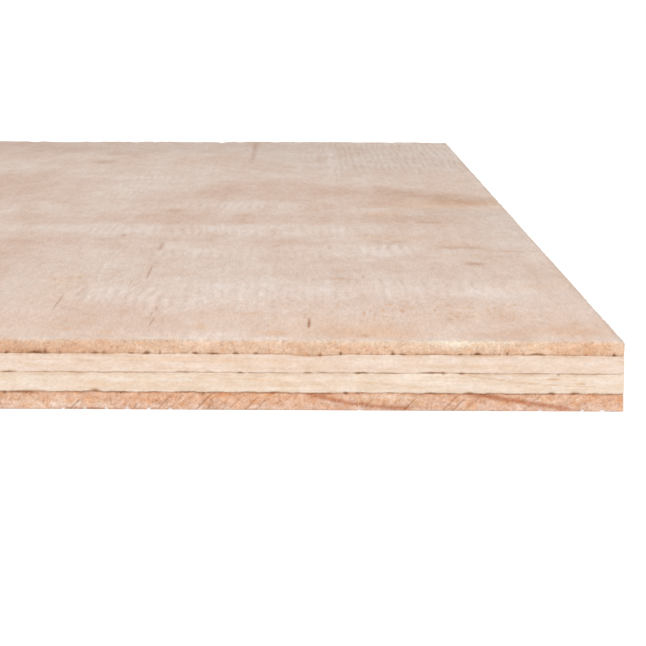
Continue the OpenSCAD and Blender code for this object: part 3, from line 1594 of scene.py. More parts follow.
        cells = np.stack([grid[:-1, :-1], grid[:-1, 1:], grid[1:, 1:], grid[1:, :-1]], axis=-1)
        front_steps = ring[front:right].reshape(-1, plan.per_column)[:, 1:]
        right_steps = ring[right:rear].reshape(-1, plan.per_row)[:, 1:]
        left_steps = ring[left:end].reshape(-1, plan.per_row)[::-1, 1:]
        first, last = cells[0, 0], cells[0, -1]
        left_corner = [first[:1], front_steps[0], first[1:], left_steps[0]]
        right_corner = [last[:1], front_steps[-1], last[1:2], right_steps[0], last[2:]]
        blocks = [
            cells[1:, 1:-1].reshape(-1, 4),
            np.hstack([cells[0, 1:-1, :1], front_steps[1:-1], cells[0, 1:-1, 1:]]),
            np.hstack([cells[1:, -1, :2], right_steps[1:], cells[1:, -1, 2:]]),
            np.hstack([cells[1:, 0], left_steps[1:]]),
            np.hstack(left_corner)[None, :],
            np.hstack(right_corner)[None, :],
        ]
        low = len(Side) * self.strip + self.bare_start
        for corners in blocks:
            corners = corners if upward else corners[:, ::-1]
            shell.add_faces(corners, self.flat_layout(shell, corners, low, 1.0))


@dataclass(frozen=True)
class LatheChecks:
    """Slanting checks that peeling opened in a veneer, as the edge across the grain shows them."""

    seed: int
    every: float  # Distance between checks
    slope: float  # Distance to the right for each millimetre up
    half: float
    foot: float  # Mean height of their lower ends
    top: float  # And of their upper ends
    curl: float  # How far they bend out of true
    darkness: float
    paleness: float  # Strength of the pale fibres beside them
    depth: float
    curl_cell: Cell = (1.7, 0.9)
    stray: float = 0.3  # How far one lies from its even place, as a share of it
    foot_stray: float = 0.8
    top_stray: float = 1.1
    opening: float = 0.6  # Noise at which a check is fully open
    end: float = 0.3  # Half the height over which its ends fade
    pale_shift: float = 2.0  # Distance of the pale fibres to its right, in half widths

    def drawn(self, number: Array, rate: float, start: float, row: float) -> Array:
        """Noise that belongs to each numbered check, read at number times rate plus start in a row."""
        return Ripple(self.seed).at(number * rate + start, np.array(row))

    def nearness(self, walked: Array, height: Array, shift: float = 0.0) -> Array:
        """How near each point is to a check.

        Noise also moves each one along the edge, and shortens or closes it.

        Args:
            walked: Distance of each point along the outline.
            height: Its height above the veneer's lower side.
            shift: How far to the right of each check the line is drawn.

        Returns:
            1 on a check, falling to 0 beside it.
        """
        curl = self.curl * Ripple(self.seed).sized(walked, height, self.curl_cell)
        count = (walked - self.slope * height + curl) / self.every
        number = np.floor(count)
        middle = 0.5 + self.stray * self.drawn(number, rate=0.73, start=0.37, row=0.5)
        opened = smooth_step(0.0, self.opening, self.drawn(number, rate=0.57, start=0.11, row=3.5))
        foot = self.foot + self.foot_stray * self.drawn(number, rate=0.83, start=0.29, row=5.5)
        top = self.top + self.top_stray * self.drawn(number, rate=0.61, start=0.21, row=7.5)
        across = bell((count - number - middle) * self.every - shift, self.half)
        below_top = smooth_step(top + self.end, top - self.end, height)
        above_foot = smooth_step(foot - self.end, foot + self.end, height)
        return across * opened * below_top * above_foot

    def paint(self, walked: Array, height: Array, ends: Array, tint: Array) -> Array:
        """Tint with the dark checks over it, and pale fibres to the right of each of them.

        Args:
            walked: Distance of each point along the outline.
            height: Its height above the veneer's lower side.
            ends: 1 on the edges across the grain, and 0 on the others.
            tint: Colour factors so far.

        Returns:
            The new colour factors.
        """
        dark = self.nearness(walked, height)
        pale = self.nearness(walked, height, self.pale_shift * self.half)
        tint = stained(tint, self.darkness * ends * dark, Stain.CHECK)
        return stained(tint, self.paleness * ends * pale, Stain.FIBRE)


@dataclass
class BackVeneer(OuterVeneer):
    """Back veneer, whose edges across the grain show lathe checks."""

    checks: tuple[LatheChecks, ...] = ()  # Families of lathe checks

    def edge_setback(self, band: Band) -> Array:
        """Setback of any veneer, and the grooves of the lathe checks across the grain."""
        checks = [each.depth * each.nearness(band.outline.walked, band.below) for each in self.checks]
        return super().edge_setback(band) + self.across_grain(band.outline) * sum(checks)

    def edge_paint(self, band: Band) -> Array:
        """Paint of any veneer, with the lathe checks over it.

        Args:
            band: Rows of the edge.

        Returns:
            The colour factors, with a last axis of 3.
        """
        tint = super().edge_paint(band)
        ends = self.across_grain(band.outline)
        for family in self.checks:
            tint = family.paint(band.outline.walked, band.below, ends, tint)
        return tint


@dataclass(frozen=True)
class Studio:
    """Pale floor, soft light and the camera."""

    plan: SheetPlan
    camera_left: float = 56.76  # Place of the camera, left of the right edge
    camera_ahead: float = 507.1  # And in front of the front edge
    camera_height: float = 73.97  # Height of the camera
    pitch: float = 6.632  # Angle down from level, in degrees
    yaw: float = 0.59  # Angle to the right, in degrees
    roll: float = 0.36  # Angle that the camera leans, in degrees
    focus: float = 3000.0  # Focal length, in pixels of the photo
    clip: Range = (0.01, 100.0)  # In metres, as the floor's and the light's sizes are
    floor_half: float = 40.0
    floor_points: int = 9
    floor_grey: float = 0.92
    dome: float = 1.1  # Strength of the light from all round
    key: float = 7.8  # Power of the large light, in watts
    key_size: float = 1.2  # Its diameter
    key_place: tuple[float, float, float] = (0.5, -0.9, 1.1)
    key_aim: tuple[float, float, float] = (0.1, -0.1, 0.0)  # Place that it points to

    def place_camera(self) -> None:
        """Sets the camera by its place and its three angles.

        It looks along (sin yaw cos pitch, cos yaw cos pitch, -sin pitch). Its right hand is level
        and across that, and the roll then turns its right hand and its up about the line of sight.
        """
        pitch, yaw, roll = (math.radians(angle) for angle in (self.pitch, self.yaw, self.roll))
        level_ahead = Vector((math.sin(yaw), math.cos(yaw), 0.0))
        ahead = math.cos(pitch) * level_ahead - math.sin(pitch) * Vector((0.0, 0.0, 1.0))
        level = Vector((math.cos(yaw), -math.sin(yaw), 0.0))
        upright = level.cross(ahead)
        right = math.cos(roll) * level + math.sin(roll) * upright
        up = math.cos(roll) * upright - math.sin(roll) * level
        x = self.plan.half_x - self.camera_left
        y = -self.plan.half_y - self.camera_ahead
        place = Vector((x, y, self.camera_height))
        turn = Matrix((right, up, -ahead)).transposed().to_4x4()
        lens = bpy.data.cameras.new("camera")
        lens.lens = lens.sensor_width * self.focus / PHOTO_PIXELS
        lens.clip_start, lens.clip_end = self.clip
        camera = bpy.data.objects.new("camera", lens)
        camera.matrix_world = Matrix.Translation(place * MM) @ turn
        bpy.context.scene.collection.objects.link(camera)
        bpy.context.scene.camera = camera

    def lay_floor(self) -> None:
        """Makes the pale matt floor, a square grid at the height of the sheet's underside."""
        places = np.linspace(-self.floor_half, self.floor_half, self.floor_points)
        x, y = np.meshgrid(places, places)
        numbers = np.arange(x.size).reshape(x.shape)
        corners = [numbers[:-1, :-1], numbers[:-1, 1:], numbers[1:, 1:], numbers[1:, :-1]]
        mesh = bpy.data.meshes.new("floor")
        points = np.stack([x, y, np.zeros_like(x)], axis=-1).reshape(-1, 3)
        mesh.from_pydata(points.tolist(), [], np.stack(corners, axis=-1).reshape(-1, 4).tolist())
        nodes = Nodes("studio_floor")
        nodes.put(nodes.shader.inputs["Base Color"], (*[self.floor_grey] * 3, 1.0))
        nodes.put(nodes.shader.inputs["Roughness"], 1.0)
        nodes.put(nodes.shader.inputs["Specular IOR Level"], 0.0)
        mesh.materials.append(nodes.material)
        floor = bpy.data.objects.new("floor", mesh)
        bpy.context.scene.collection.objects.link(floor)

    def light(self) -> None:
        """Sets an even white dome, and one large light overhead, a little to the front and right."""
        world = bpy.data.worlds.new("studio")
        world.use_nodes = True
        dome = world.node_tree.nodes["Background"]
        dome.inputs["Color"].default_value = (1.0, 1.0, 1.0, 1.0)
        dome.inputs["Strength"].default_value = self.dome
        bpy.context.scene.world = world
        lamp = bpy.data.lights.new("softbox", "AREA")
        lamp.shape = "DISK"
        lamp.size = self.key_size
        lamp.energy = self.key
        softbox = bpy.data.objects.new("softbox", lamp)
        place, aim = Vector(self.key_place), Vector(self.key_aim)
        turn = (aim - place).to_track_quat("-Z", "Y").to_matrix().to_4x4()
        softbox.matrix_world = Matrix.Translation(place) @ turn
        bpy.context.scene.collection.objects.link(softbox)

    def set_up(self) -> None:
        """Makes the camera, floor and light, and shows colours as they are."""
        self.place_camera()
        self.lay_floor()
        self.light()
        bpy.context.scene.view_settings.view_transform = "Standard"


# Runs of glue and painted gap shade on the front edge, from the left of the photo to the right corner
UNDER_FACE_RUNS = (
    GlueRun(105.4, 0.6, 0.9, up=0.2),
    GlueRun(100.4, 2.0, 0.9, up=0.25),
    GlueRun(98.8, 0.4, 0.8, up=0.45),
    GlueRun(96.3, 0.4, 0.6, up=0.25),
    GlueRun(90.3, 0.9, 0.8, up=0.25),
    GlueRun(88.9, 0.4, 0.7, up=0.2),
    GlueRun(84.2, 0.7, 0.8, up=0.1),
    GlueRun(81.6, 0.8, 1.0, up=0.2),
    GlueRun(79.3, 0.3, 0.8, up=0.45),
    GlueRun(73.3, 0.7, 1.0, up=0.2),
    GlueRun(70.2, 1.6, 0.9, up=0.12),
    GlueRun(66.3, 0.8, 0.9, up=0.1),
    GlueRun(62.9, 0.5, 0.8, up=0.2),
    GlueRun(59.3, 0.6, 0.6),
    GlueRun(52.6, 4.5, 0.25, shift=-0.28),
    GlueRun(52.0, 0.35, 0.9, up=0.45),
    GlueRun(48.5, 0.35, 0.9, up=0.4),
    GlueRun(45.4, 0.35, 0.6, up=0.35),
    GlueRun(42.3, 0.4, 0.5, up=0.15),
    GlueRun(39.6, 0.45, 1.0, up=0.4),
    GlueRun(37.9, 0.8, 0.9, up=0.15),
    GlueRun(33.0, 2.6, 0.5),
    GlueRun(28.1, 0.6, 0.9, up=0.1),
    GlueRun(25.1, 1.0, 1.0, up=0.2),
    GlueRun(21.4, 0.3, 0.7, up=0.15),
    GlueRun(20.1, 0.35, 0.8, up=0.3),
    GlueRun(14.9, 1.9, 0.9, up=0.2),
    GlueRun(6.7, 0.4, 0.6, up=0.15),
    GlueRun(1.8, 0.5, 1.0, up=0.3),
)
BETWEEN_CORES_RUNS = (
    GlueRun(105.2, 1.6, 0.8, up=0.04),
    GlueRun(99.4, 3.0, 0.5),
    GlueRun(94.0, 2.4, 0.4),
    GlueRun(87.8, 3.4, 0.6),
    GlueRun(75.3, 2.8, 0.7, up=0.03),
    GlueRun(71.0, 1.6, 0.4),
    GlueRun(65.5, 1.0, 0.9, up=0.03),
    GlueRun(63.6, 1.0, 0.5),
    GlueRun(59.0, 2.4, 0.5),
    GlueRun(54.1, 1.1, 0.8, up=0.06),
    GlueRun(51.4, 1.4, 0.6),
    GlueRun(45.0, 1.7, 1.0, up=0.07),
    GlueRun(40.5, 3.8, 0.6),
    GlueRun(32.8, 3.0, 0.9, up=0.05, shift=0.1),
    GlueRun(31.0, 0.5, 0.9, up=0.1, down=0.15),
    GlueRun(27.8, 0.9, 0.9, up=0.06, down=0.06),
    GlueRun(24.9, 2.6, 0.5),
    GlueRun(15.3, 4.2, 0.5),
    GlueRun(11.3, 0.3, 0.8, down=0.2),
    GlueRun(5.5, 5.6, 0.45),
)
OVER_BACK_RUNS = (
    GlueRun(102.7, 4.2, 0.8, up=0.08, down=0.1),
    GlueRun(95.6, 3.0, 0.5),
    GlueRun(90.3, 1.4, 0.8, up=0.25, shift=0.1),
    GlueRun(85.9, 2.0, 0.8, down=0.1),
    GlueRun(80.0, 2.6, 0.6),
    GlueRun(75.0, 2.9, 0.7, shift=0.08),
    GlueRun(71.9, 0.5, 0.9, down=0.3),
    GlueRun(68.5, 2.4, 0.5),
    GlueRun(60.0, 0.9, 0.9, up=0.06, down=0.1),
    GlueRun(56.0, 2.9, 0.6),
    GlueRun(47.5, 0.8, 0.9, up=0.05, down=0.12),
    GlueRun(45.2, 1.6, 0.6, down=0.1),
    GlueRun(37.3, 1.5, 0.5),
    GlueRun(32.9, 1.3, 0.8, up=0.06),
    GlueRun(26.6, 1.5, 0.8, up=0.08),
    GlueRun(17.3, 1.0, 0.6),
    GlueRun(12.5, 1.2, 1.0, up=0.12),
    GlueRun(8.5, 1.3, 0.9, up=0.1),
    GlueRun(3.8, 3.6, 0.5),
)
# Places where the lower arris has splintered: an even row of them, and single ones
SPLINTERED = tuple(Bite(77.55 + 3.63 * k, width=0.7, height=0.36) for k in range(6))
BROKEN = (Bite(45.1, 1.0, 0.22), Bite(14.4, 1.0, 0.2), Bite(7.2, 0.7, 0.3), Bite(3.7, 0.7, 0.3))

# Boundaries of the veneers: the ragged upper arris, worn down at the rear, with pale torn fibres
FACE_ARRIS = Arris(
    seed=11, inward=-1.0, size=0.13, drop=0.01, raggedness=0.13, rear_drop=0.5, rear_sag=0.4, fringe=0.36,
    fringes=((46.0, 13.0, 0.5), (26.0, 10.0, 0.55), (95.0, 60.0, 0.1), (305.0, 180.0, 0.2)),
)
# A faint seam, with dark teeth that rise from it
SEAM_UNDER_FACE = GlueSeam(
    seed=21, wave=0.14, line=0.11, lean=-0.3, halo=0.3, darkness=0.3, gaps=0.7, tooth_every=1.3,
    tooth_share=0.2, soak_up=0.65, soak_down=0.7, soak_reach=0.4, runs=UNDER_FACE_RUNS,
)
# A thin and broken seam, with a stain below it
SEAM_BETWEEN_CORES = GlueSeam(
    seed=31, wave=0.12, line=0.12, darkness=0.3, gaps=0.7, halo=0.4, tooth_every=5.0, tooth_share=0.15,
    tooth_up=0.02, tooth_down=0.02, pit=0.06, soak_down=0.6, soak_reach=0.6, runs=BETWEEN_CORES_RUNS,
)
# The darkest seam, with teeth that hang from it
SEAM_OVER_BACK = GlueSeam(
    seed=41, wave=0.16, line=0.15, lean=0.35, darkness=0.56, tooth_every=1.8, tooth_share=0.25,
    tooth_up=0.04, tooth_down=0.2, soak_down=0.7, runs=OVER_BACK_RUNS,
)
# The lower arris, pale from handling, with places that have splintered away, painted near white: torn
# fibres and painted light of the bright floor
BACK_ARRIS = Arris(
    seed=51, inward=1.0, size=0.08, drop=0.015, raggedness=0.03, bleach=0.8, bites=SPLINTERED + BROKEN,
)

FACE_WOOD = VeneerFinish(
    "face_wood",
    Grain.ALONG_Y,
    pale=(0.547, 0.463, 0.410),
    deep=(0.447, 0.308, 0.230),
    speck=(0.50, 0.31, 0.19),
    layers=(
        Layer((0.35, 6.0, 0.35), 0.30),
        Layer((2.4, 12.0, 2.4), 0.20),
        Layer((7.0, 18.0, 6.0), 0.35),
        Layer((3.0, 130.0, 3.0), 0.15, detail=1.0),
    ),
    grit=(Layer((0.3, 3.0, 0.3), 0.65), Layer((1.1, 9.0, 1.1), 0.35)),
    gritty=(0.65, 1.05),
    contrast=1.9,
    end_contrast=4.2,
    relief=0.03,
)
CORE_WOOD = VeneerFinish(
    "core_wood",
    Grain.ALONG_X,
    pale=(0.668, 0.556, 0.474),
    deep=(0.592, 0.428, 0.304),
    speck=(0.60, 0.42, 0.28),
    layers=(Layer((3.6, 1.1, 1.1), 0.8), Layer((9.0, 0.5, 0.5), 0.2)),
    grit=(Layer((0.6, 0.3, 0.3), 1.0),),
    gritty=(0.38, 0.50),
    figure=(40.0, 6.0, 1.6),
    figured=0.32,
    contrast=2.0,
    relief=0.04,
    specks=0.2,
)
BACK_WOOD = VeneerFinish(
    "back_wood",
    Grain.ALONG_Y,
    pale=(0.644, 0.438, 0.328),
    deep=(0.490, 0.258, 0.152),
    speck=(0.45, 0.24, 0.14),
    layers=(Layer((1.3, 1.4, 1.0), 0.65), Layer((0.5, 10.0, 0.5), 0.35)),
    grit=(Layer((0.25, 3.0, 0.25), 1.0),),
    gritty=(0.30, 0.85),
    end_contrast=2.4,
)

FACE_SPLITS = (
    # Where the photo shows them
    Split(70.4, 548.0, 120.0, depth=0.1, half_width=1.1, darkness=0.4),
    Split(86.7, 118.0, 26.0, depth=0.08, half_width=0.25, darkness=0.75),
    Split(86.8, 176.0, 20.0, depth=0.06, half_width=0.7, darkness=0.6),
    Split(82.1, 48.8, 10.0, depth=0.06, half_width=0.16, lean=0.05, darkness=0.6),
    Split(82.7, 40.7, 4.0, depth=0.1, half_width=0.25),
    Split(82.0, 26.5, 12.0, depth=0.08, half_width=0.14, lean=-0.02, darkness=0.7),
    Split(53.75, 26.7, 16.0, depth=0.06, half_width=0.34, lean=-0.018, darkness=1.25),
    Split(54.5, 37.6, 8.0, depth=0.06, half_width=0.18, darkness=0.5),
    Split(61.1, 22.5, 3.0, depth=0.06, half_width=0.22, darkness=0.6),
    Split(101.2, 59.5, 27.0, depth=0.05, half_width=0.22, darkness=0.6),
    Split(98.3, 76.0, 15.0, depth=0.05, half_width=0.25, lean=-0.03, darkness=0.45),
    Split(42.3, 108.5, 5.0, depth=0.15, half_width=0.2, darkness=0.5),
    # To the left of what the photo shows
    Split(180.0, 260.0, 60.0, depth=0.4, half_width=0.3),
    Split(236.0, 96.0, 42.0, depth=0.35, half_width=0.3),
    Split(331.0, 402.0, 75.0, depth=0.4, half_width=0.35, lean=0.01),
    Split(418.0, 178.0, 36.0, depth=0.35, half_width=0.3),
    Split(497.0, 505.0, 54.0, depth=0.4, half_width=0.3, lean=-0.01),
)
FACE_MARKS = (
    # The rear
    Mark(115.0, 575.0, 75.0, 50.0, Stain.GREY, 0.8, firm=8.0),
    Mark(115.0, 590.0, 75.0, 40.0, Stain.PINK, 0.5, firm=6.0),
    Mark(30.0, 520.0, 45.0, 90.0, Stain.GREY, 0.7, firm=4.0),
    Mark(132.0, 549.0, 7.0, 16.0, Stain.PINK, 1.0),
    Mark(113.0, 532.0, 10.0, 16.0, Stain.PINK, 1.0),
    Mark(119.3, 485.0, 5.0, 11.0, Stain.BROWN, 0.9),
    Mark(70.4, 595.0, 2.5, 22.0, Stain.BROWN, 0.5),
    Mark(43.8, 520.0, 1.7, 80.0, Stain.PALE, 1.8, firm=2.0),
    Mark(138.0, 456.0, 12.0, 8.0, Stain.PALE, 1.0),
    Mark(24.0, 438.0, 14.0, 24.0, Stain.PINK, 0.5, firm=4.0),
    Mark(3.0, 526.0, 5.0, 20.0, Stain.PALE, 0.8),
    # The middle
    Mark(136.0, 365.0, 24.0, 66.0, Stain.PINK, 0.6, firm=8.0),
    Mark(107.0, 411.0, 15.0, 9.0, Stain.PALE, 1.1),
    Mark(103.0, 365.0, 11.0, 32.0, Stain.PALE, 0.5),
    Mark(63.0, 358.0, 22.0, 43.0, Stain.PINK, 0.95, firm=9.0),
    Mark(34.0, 345.0, 14.0, 36.0, Stain.PINK, 0.8, firm=5.0),
    Mark(32.0, 352.0, 16.0, 22.0, Stain.BROWN, 0.25),
    Mark(27.0, 355.0, 6.0, 4.0, Stain.BROWN, 0.5),
    Mark(18.0, 341.0, 9.0, 9.0, Stain.BROWN, 0.6),
    Mark(9.0, 322.0, 11.0, 19.0, Stain.BROWN, 1.0, firm=4.0),
    Mark(15.0, 306.0, 20.0, 18.0, Stain.ORANGE, 0.65),
    Mark(70.0, 298.0, 24.0, 11.0, Stain.PALE, 0.7),
    Mark(38.0, 303.0, 12.0, 13.0, Stain.PINK, 0.7, firm=5.0),
    Mark(84.0, 302.0, 16.0, 14.0, Stain.PALE, 0.5),
    Mark(78.0, 244.0, 60.0, 32.0, Stain.PINK, 0.75, crisp=0.2),
    Mark(34.0, 258.0, 20.0, 15.0, Stain.BROWN, 0.3, firm=6.0),
    Mark(33.5, 273.0, 5.0, 8.0, Stain.ORANGE, 0.7),
    Mark(21.7, 248.0, 4.0, 2.5, Stain.BROWN, 0.8),
    Mark(88.0, 280.0, 2.5, 7.0, Stain.BROWN, 0.6),
    Mark(5.0, 240.0, 7.0, 60.0, Stain.GREY, 0.6),
    Mark(14.0, 276.0, 14.0, 16.0, Stain.GREY, 0.6),
    Mark(14.0, 360.0, 9.0, 16.0, Stain.PINK, 0.5),
    # Between the middle and the front
    Mark(84.0, 222.0, 50.0, 15.0, Stain.PALE, 0.9, firm=6.0),
    Mark(80.0, 189.0, 50.0, 9.0, Stain.PINK, 0.35, firm=4.0),
    Mark(80.0, 166.0, 50.0, 15.0, Stain.PALE, 0.45, firm=5.0),
    Mark(11.0, 256.0, 8.0, 8.0, Stain.PALE, 0.7),
    Mark(97.1, 205.0, 0.45, 3.5, Stain.LATEWOOD, 0.9, firm=4.0),
    Mark(98.0, 194.0, 14.0, 9.0, Stain.PINK, 0.5, crisp=0.3),
    Mark(118.0, 178.0, 14.0, 42.0, Stain.PINK, 0.6),
    Mark(42.0, 187.0, 12.0, 2.5, Stain.BROWN, 0.3),
    Mark(60.6, 178.0, 1.0, 3.0, Stain.BROWN, 0.8),
    Mark(33.0, 201.0, 8.0, 9.0, Stain.ORANGE, 0.45, crisp=0.6),
    Mark(37.3, 192.6, 1.2, 2.5, Stain.BROWN, 0.7),
    Mark(32.6, 192.9, 1.2, 2.5, Stain.BROWN, 0.7),
    Mark(35.0, 168.0, 9.0, 15.0, Stain.PALE, 0.9, firm=5.0),
    Mark(18.0, 183.0, 6.0, 9.0, Stain.ORANGE, 0.45, crisp=0.5),
    Mark(17.5, 177.0, 5.5, 3.0, Stain.BROWN, 1.0),
    Mark(7.0, 168.0, 6.0, 2.0, Stain.BROWN, 0.5),
    Mark(17.5, 138.7, 1.9, 3.6, Stain.LATEWOOD, 0.8),
    Mark(20.0, 114.0, 12.0, 12.0, Stain.PINK, 0.5),
    Mark(50.0, 166.0, 9.0, 14.0, Stain.PALE, 0.7, firm=4.0),
    Mark(3.0, 146.0, 4.0, 10.0, Stain.PALE, 0.8),
    Mark(30.0, 140.0, 30.0, 16.0, Stain.PINK, 0.35),
    Mark(36.0, 123.0, 16.0, 7.0, Stain.PINK, 0.5),
    # Some way behind the front edge
    Mark(47.8, 106.0, 3.2, 2.0, Stain.BROWN, 0.7),
    Mark(77.0, 113.0, 3.0, 2.0, Stain.BROWN, 0.4),
    Mark(103.0, 103.0, 4.0, 12.0, Stain.ORANGE, 0.5),
    Mark(103.0, 76.0, 6.0, 18.0, Stain.ORANGE, 0.3),
    Mark(38.0, 86.0, 34.0, 17.0, Stain.PALE, 0.9, firm=4.0),
    Mark(34.0, 82.0, 24.0, 14.0, Stain.PALE, 0.6, firm=5.0),
    Mark(14.0, 80.0, 13.0, 9.0, Stain.PALE, 0.5, firm=4.0),
    Mark(80.0, 75.0, 18.0, 27.0, Stain.PALE, 0.6, firm=5.0),
    Mark(11.0, 92.0, 9.0, 10.0, Stain.ORANGE, 0.4),
    Mark(91.0, 80.0, 6.0, 18.0, Stain.PALE, 0.5),
    # Along the front edge
    Mark(60.0, 14.0, 100.0, 34.0, Stain.ORANGE, 0.25),
    Mark(49.0, 17.0, 14.0, 12.0, Stain.ORANGE, 0.45),
    Mark(86.0, 14.0, 9.0, 14.0, Stain.PALE, 0.7),
    Mark(77.0, 8.0, 13.0, 6.0, Stain.PALE, 0.9, firm=4.0),
    Mark(57.0, 25.0, 110.0, 55.0, Stain.CLEAN, 1.0, firm=4.0),
    Mark(43.0, 16.0, 7.0, 11.0, Stain.ORANGE, 0.5),
    Mark(8.0, 12.0, 9.0, 8.0, Stain.ORANGE, 0.35),
    Mark(54.0, 34.0, 7.0, 10.0, Stain.ORANGE, 0.3),
    Mark(70.0, 37.0, 6.0, 6.0, Stain.ORANGE, 0.3),
    Mark(22.0, 42.0, 14.0, 14.0, Stain.ORANGE, 0.3),
    Mark(38.0, 9.0, 8.0, 5.0, Stain.ORANGE, 0.4),
    Mark(44.2, 7.5, 0.7, 2.4, Stain.BROWN, 1.0),
    Mark(54.0, 11.9, 0.3, 1.2, Stain.BROWN, 1.0),
    Mark(24.0, 11.0, 10.0, 1.6, Stain.ORANGE, 0.4),
    Mark(8.5, 15.0, 4.5, 6.0, Stain.ORANGE, 0.5),
    Mark(60.0, 10.5, 3.0, 4.5, Stain.ORANGE, 0.7),
    Mark(72.8, 21.0, 1.3, 5.5, Stain.ORANGE, 0.9),
    Mark(89.5, 11.0, 1.6, 4.5, Stain.ORANGE, 0.7),
    Mark(96.2, 17.0, 1.3, 2.6, Stain.ORANGE, 0.8),
    Mark(68.5, 10.0, 5.0, 5.0, Stain.PALE, 1.0),
    Mark(60.5, 53.6, 0.9, 1.6, Stain.BROWN, 0.6),
    Mark(64.3, 41.5, 2.0, 1.6, Stain.ORANGE, 0.8),
    Mark(106.0, 28.0, 9.0, 26.0, Stain.ORANGE, 0.15),
    Mark(100.0, 42.0, 14.0, 28.0, Stain.PINK, 0.2),
    Mark(46.0, 2.2, 11.0, 2.0, Stain.FIBRE, 0.2),
    Mark(24.0, 2.0, 8.0, 2.0, Stain.FIBRE, 0.15),
    Mark(80.0, 3.0, 9.0, 2.6, Stain.FIBRE, 0.6),
    Mark(66.0, 2.6, 4.0, 2.4, Stain.FIBRE, 0.5),
    Mark(59.0, 3.0, 3.2, 2.4, Stain.FIBRE, 0.5),
    Mark(100.0, 2.4, 5.0, 2.0, Stain.FIBRE, 0.3),
    # To the left of what the photo shows
    Mark(210.0, 330.0, 40.0, 60.0, Stain.PINK, 0.6, crisp=0.4),
    Mark(270.0, 140.0, 30.0, 50.0, Stain.BROWN, 0.35, crisp=0.4),
    Mark(380.0, 480.0, 50.0, 40.0, Stain.BROWN, 0.4, crisp=0.4),
    Mark(450.0, 280.0, 60.0, 60.0, Stain.PINK, 0.6, crisp=0.4),
    Mark(540.0, 120.0, 40.0, 70.0, Stain.ORANGE, 0.4, crisp=0.5),
)
SPECKLED = ((20.0, 46.0, 22.0), (40.0, 50.0, 16.0), (66.0, 58.0, 12.0), (100.0, 100.0, 20.0))
# Marks on the front edge of each veneer
FACE_EDGE = (
    Mark(27.0, 1.7, 12.0, 0.9, Stain.FIBRE, 0.5),
    Mark(9.0, 1.2, 8.0, 1.6, Stain.ORANGE, 0.5),
    Mark(103.0, 1.2, 9.0, 1.6, Stain.BROWN, 0.35),
    Mark(101.0, 0.4, 6.0, 0.5, Stain.BROWN, 0.7),
    Mark(45.0, 0.9, 4.0, 0.9, Stain.ORANGE, 0.3),
)
UPPER_CORE_EDGE = (
    Mark(77.0, 2.4, 11.0, 0.4, Stain.ORANGE, 0.6),
    Mark(62.0, 1.9, 9.0, 0.4, Stain.ORANGE, 0.5),
    Mark(40.0, 2.0, 8.0, 0.5, Stain.PALE, 0.8),
    Mark(22.0, 1.2, 5.0, 0.4, Stain.ORANGE, 0.4),
)
LOWER_CORE_EDGE = (
    Mark(75.5, 3.03, 8.0, 0.08, Stain.RING, 0.8),
    Mark(61.0, 2.2, 6.0, 0.18, Stain.ORANGE, 0.6),
    Mark(90.0, 1.25, 4.0, 0.35, Stain.ORANGE, 0.5),
    Mark(36.0, 2.4, 6.0, 0.6, Stain.PALE, 0.8),
    Mark(12.2, 2.46, 1.4, 0.11, Stain.RING, 1.3),
    Mark(7.5, 1.75, 0.9, 0.11, Stain.RING, 1.2),
)
BACK_EDGE = (
    Mark(70.0, 2.0, 22.0, 1.2, Stain.ORANGE, 0.5),
    Mark(40.0, 1.9, 6.0, 0.8, Stain.FIBRE, 0.8),
    Mark(12.0, 1.8, 4.0, 0.6, Stain.FIBRE, 0.6),
    Mark(98.0, 1.0, 9.0, 0.9, Stain.FIBRE, 0.55),
    Mark(93.0, 0.1, 5.0, 0.2, Stain.LATEWOOD, 0.9),
    Mark(84.0, 0.1, 5.0, 0.18, Stain.BROWN, 0.9),
    Mark(5.0, 2.2, 6.0, 0.7, Stain.ORANGE, 0.5),
)
LATHE_CHECKS = (
    LatheChecks(408, 2.1, 1.0, 0.17, foot=-0.6, top=1.9, curl=0.1, darkness=0.9, paleness=0.6, depth=0.12),
    LatheChecks(418, 1.1, 1.3, 0.13, foot=1.0, top=2.6, curl=0.5, darkness=0.65, paleness=0.5, depth=0.08),
    LatheChecks(428, 0.9, 0.6, 0.12, foot=0.2, top=1.8, curl=0.7, darkness=0.5, paleness=0.4, depth=0.06),
)
LATEWOOD_BANDS = (
    RingBand(37.0, 0.43, 0.012, 0.0075, 17.5, half=0.36, strength=0.9),
    RingBand(9.0, 0.26, 0.165, -0.0006, 18.0, half=0.42, strength=1.0),
)
CORE_RINGS = (
    RingBand(4.5, 1.2, 0.01, 0.0034, 23.0, half=0.1, strength=0.8, stain=Stain.RING),
    RingBand(34.0, 0.9, 0.09, 0.0, 15.0, half=0.11, strength=0.35, stain=Stain.RING),
    RingBand(49.4, 1.38, 0.054, 0.0, 18.0, half=0.1, strength=0.35, stain=Stain.RING),
)


def height_of(node: str) -> tuple[float, float]:
    """Lowest and highest place of a CAD node, in millimetres."""
    low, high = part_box(node)
    return low.z / MM, high.z / MM


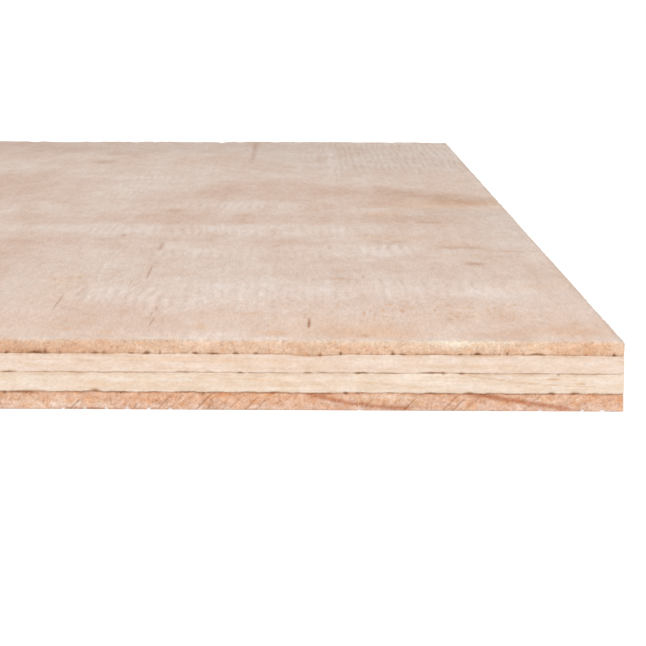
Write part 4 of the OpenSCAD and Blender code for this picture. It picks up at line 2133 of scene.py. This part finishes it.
def sheet_veneers(plan: SheetPlan) -> list[Veneer]:
    """The four veneers from the face down, between boundaries at the heights of the CAD nodes.

    Args:
        plan: Size and sampling of the sheet.

    Returns:
        The veneers, ready to build.
    """
    underside, lower_seam = height_of("back_veneer")
    middle_seam, upper_seam = height_of("upper_core_veneer")
    top = height_of("face_veneer")[1]
    face_arris, back_arris = FACE_ARRIS.raised(top), BACK_ARRIS.raised(underside)
    under_face = SEAM_UNDER_FACE.raised(upper_seam)
    between_cores = SEAM_BETWEEN_CORES.raised(middle_seam)
    over_back = SEAM_OVER_BACK.raised(lower_seam)
    face_ply = OuterVeneer(
        plan, "face_veneer", "face_ply", "face_veneer", FACE_WOOD, under_face, face_arris, Bare.TOP,
        seed=100, end_tint=(1.165, 1.02, 0.875), side_tint=(1.02, 1.0, 0.97), edge_marks=FACE_EDGE,
        mottle=0.45, pores=0.7, splits=FACE_SPLITS, marks=FACE_MARKS, speckled=SPECKLED,
    )
    upper_core_ply = Veneer(
        plan, "upper_core_veneer", "upper_core_ply", "core_veneer", CORE_WOOD, between_cores, under_face,
        Bare.NEITHER, seed=200, end_tint=(0.94, 0.88, 0.80), side_tint=(0.99, 0.98, 0.98),
        edge_marks=UPPER_CORE_EDGE, strip=0.22, steps=26,
    )
    lower_core_ply = Veneer(
        plan, "lower_core_veneer", "lower_core_ply", "core_veneer", CORE_WOOD, over_back, between_cores,
        Bare.NEITHER, seed=300, end_tint=(0.94, 0.88, 0.80), side_tint=(1.02, 1.05, 1.06),
        rings=CORE_RINGS, edge_marks=LOWER_CORE_EDGE, strip=0.22, steps=26,
    )
    back_ply = BackVeneer(
        plan, "back_veneer", "back_ply", "back_veneer", BACK_WOOD, back_arris, over_back, Bare.UNDERSIDE,
        seed=400, end_tint=(1.0, 1.0, 1.0), side_tint=(1.04, 1.06, 1.08), rings=LATEWOOD_BANDS,
        edge_marks=BACK_EDGE, mottle=1.0, pores=0.8, checks=LATHE_CHECKS,
    )
    return [face_ply, upper_core_ply, lower_core_ply, back_ply]


def main() -> None:
    """Sets the studio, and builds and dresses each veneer."""
    logging.basicConfig(level=logging.INFO, format="%(name)s: %(message)s")
    low, high = cad_box
    plan = SheetPlan((high.x - low.x) / 2 / MM, (high.y - low.y) / 2 / MM)
    Studio(plan).set_up()
    for veneer in sheet_veneers(plan):
        piece = veneer.build()
        veneer.dress(piece)
        log.info("%s: %d faces, %s", piece.name, len(piece.data.polygons), veneer.finish.name)


if __name__ == "__main__":
    main()
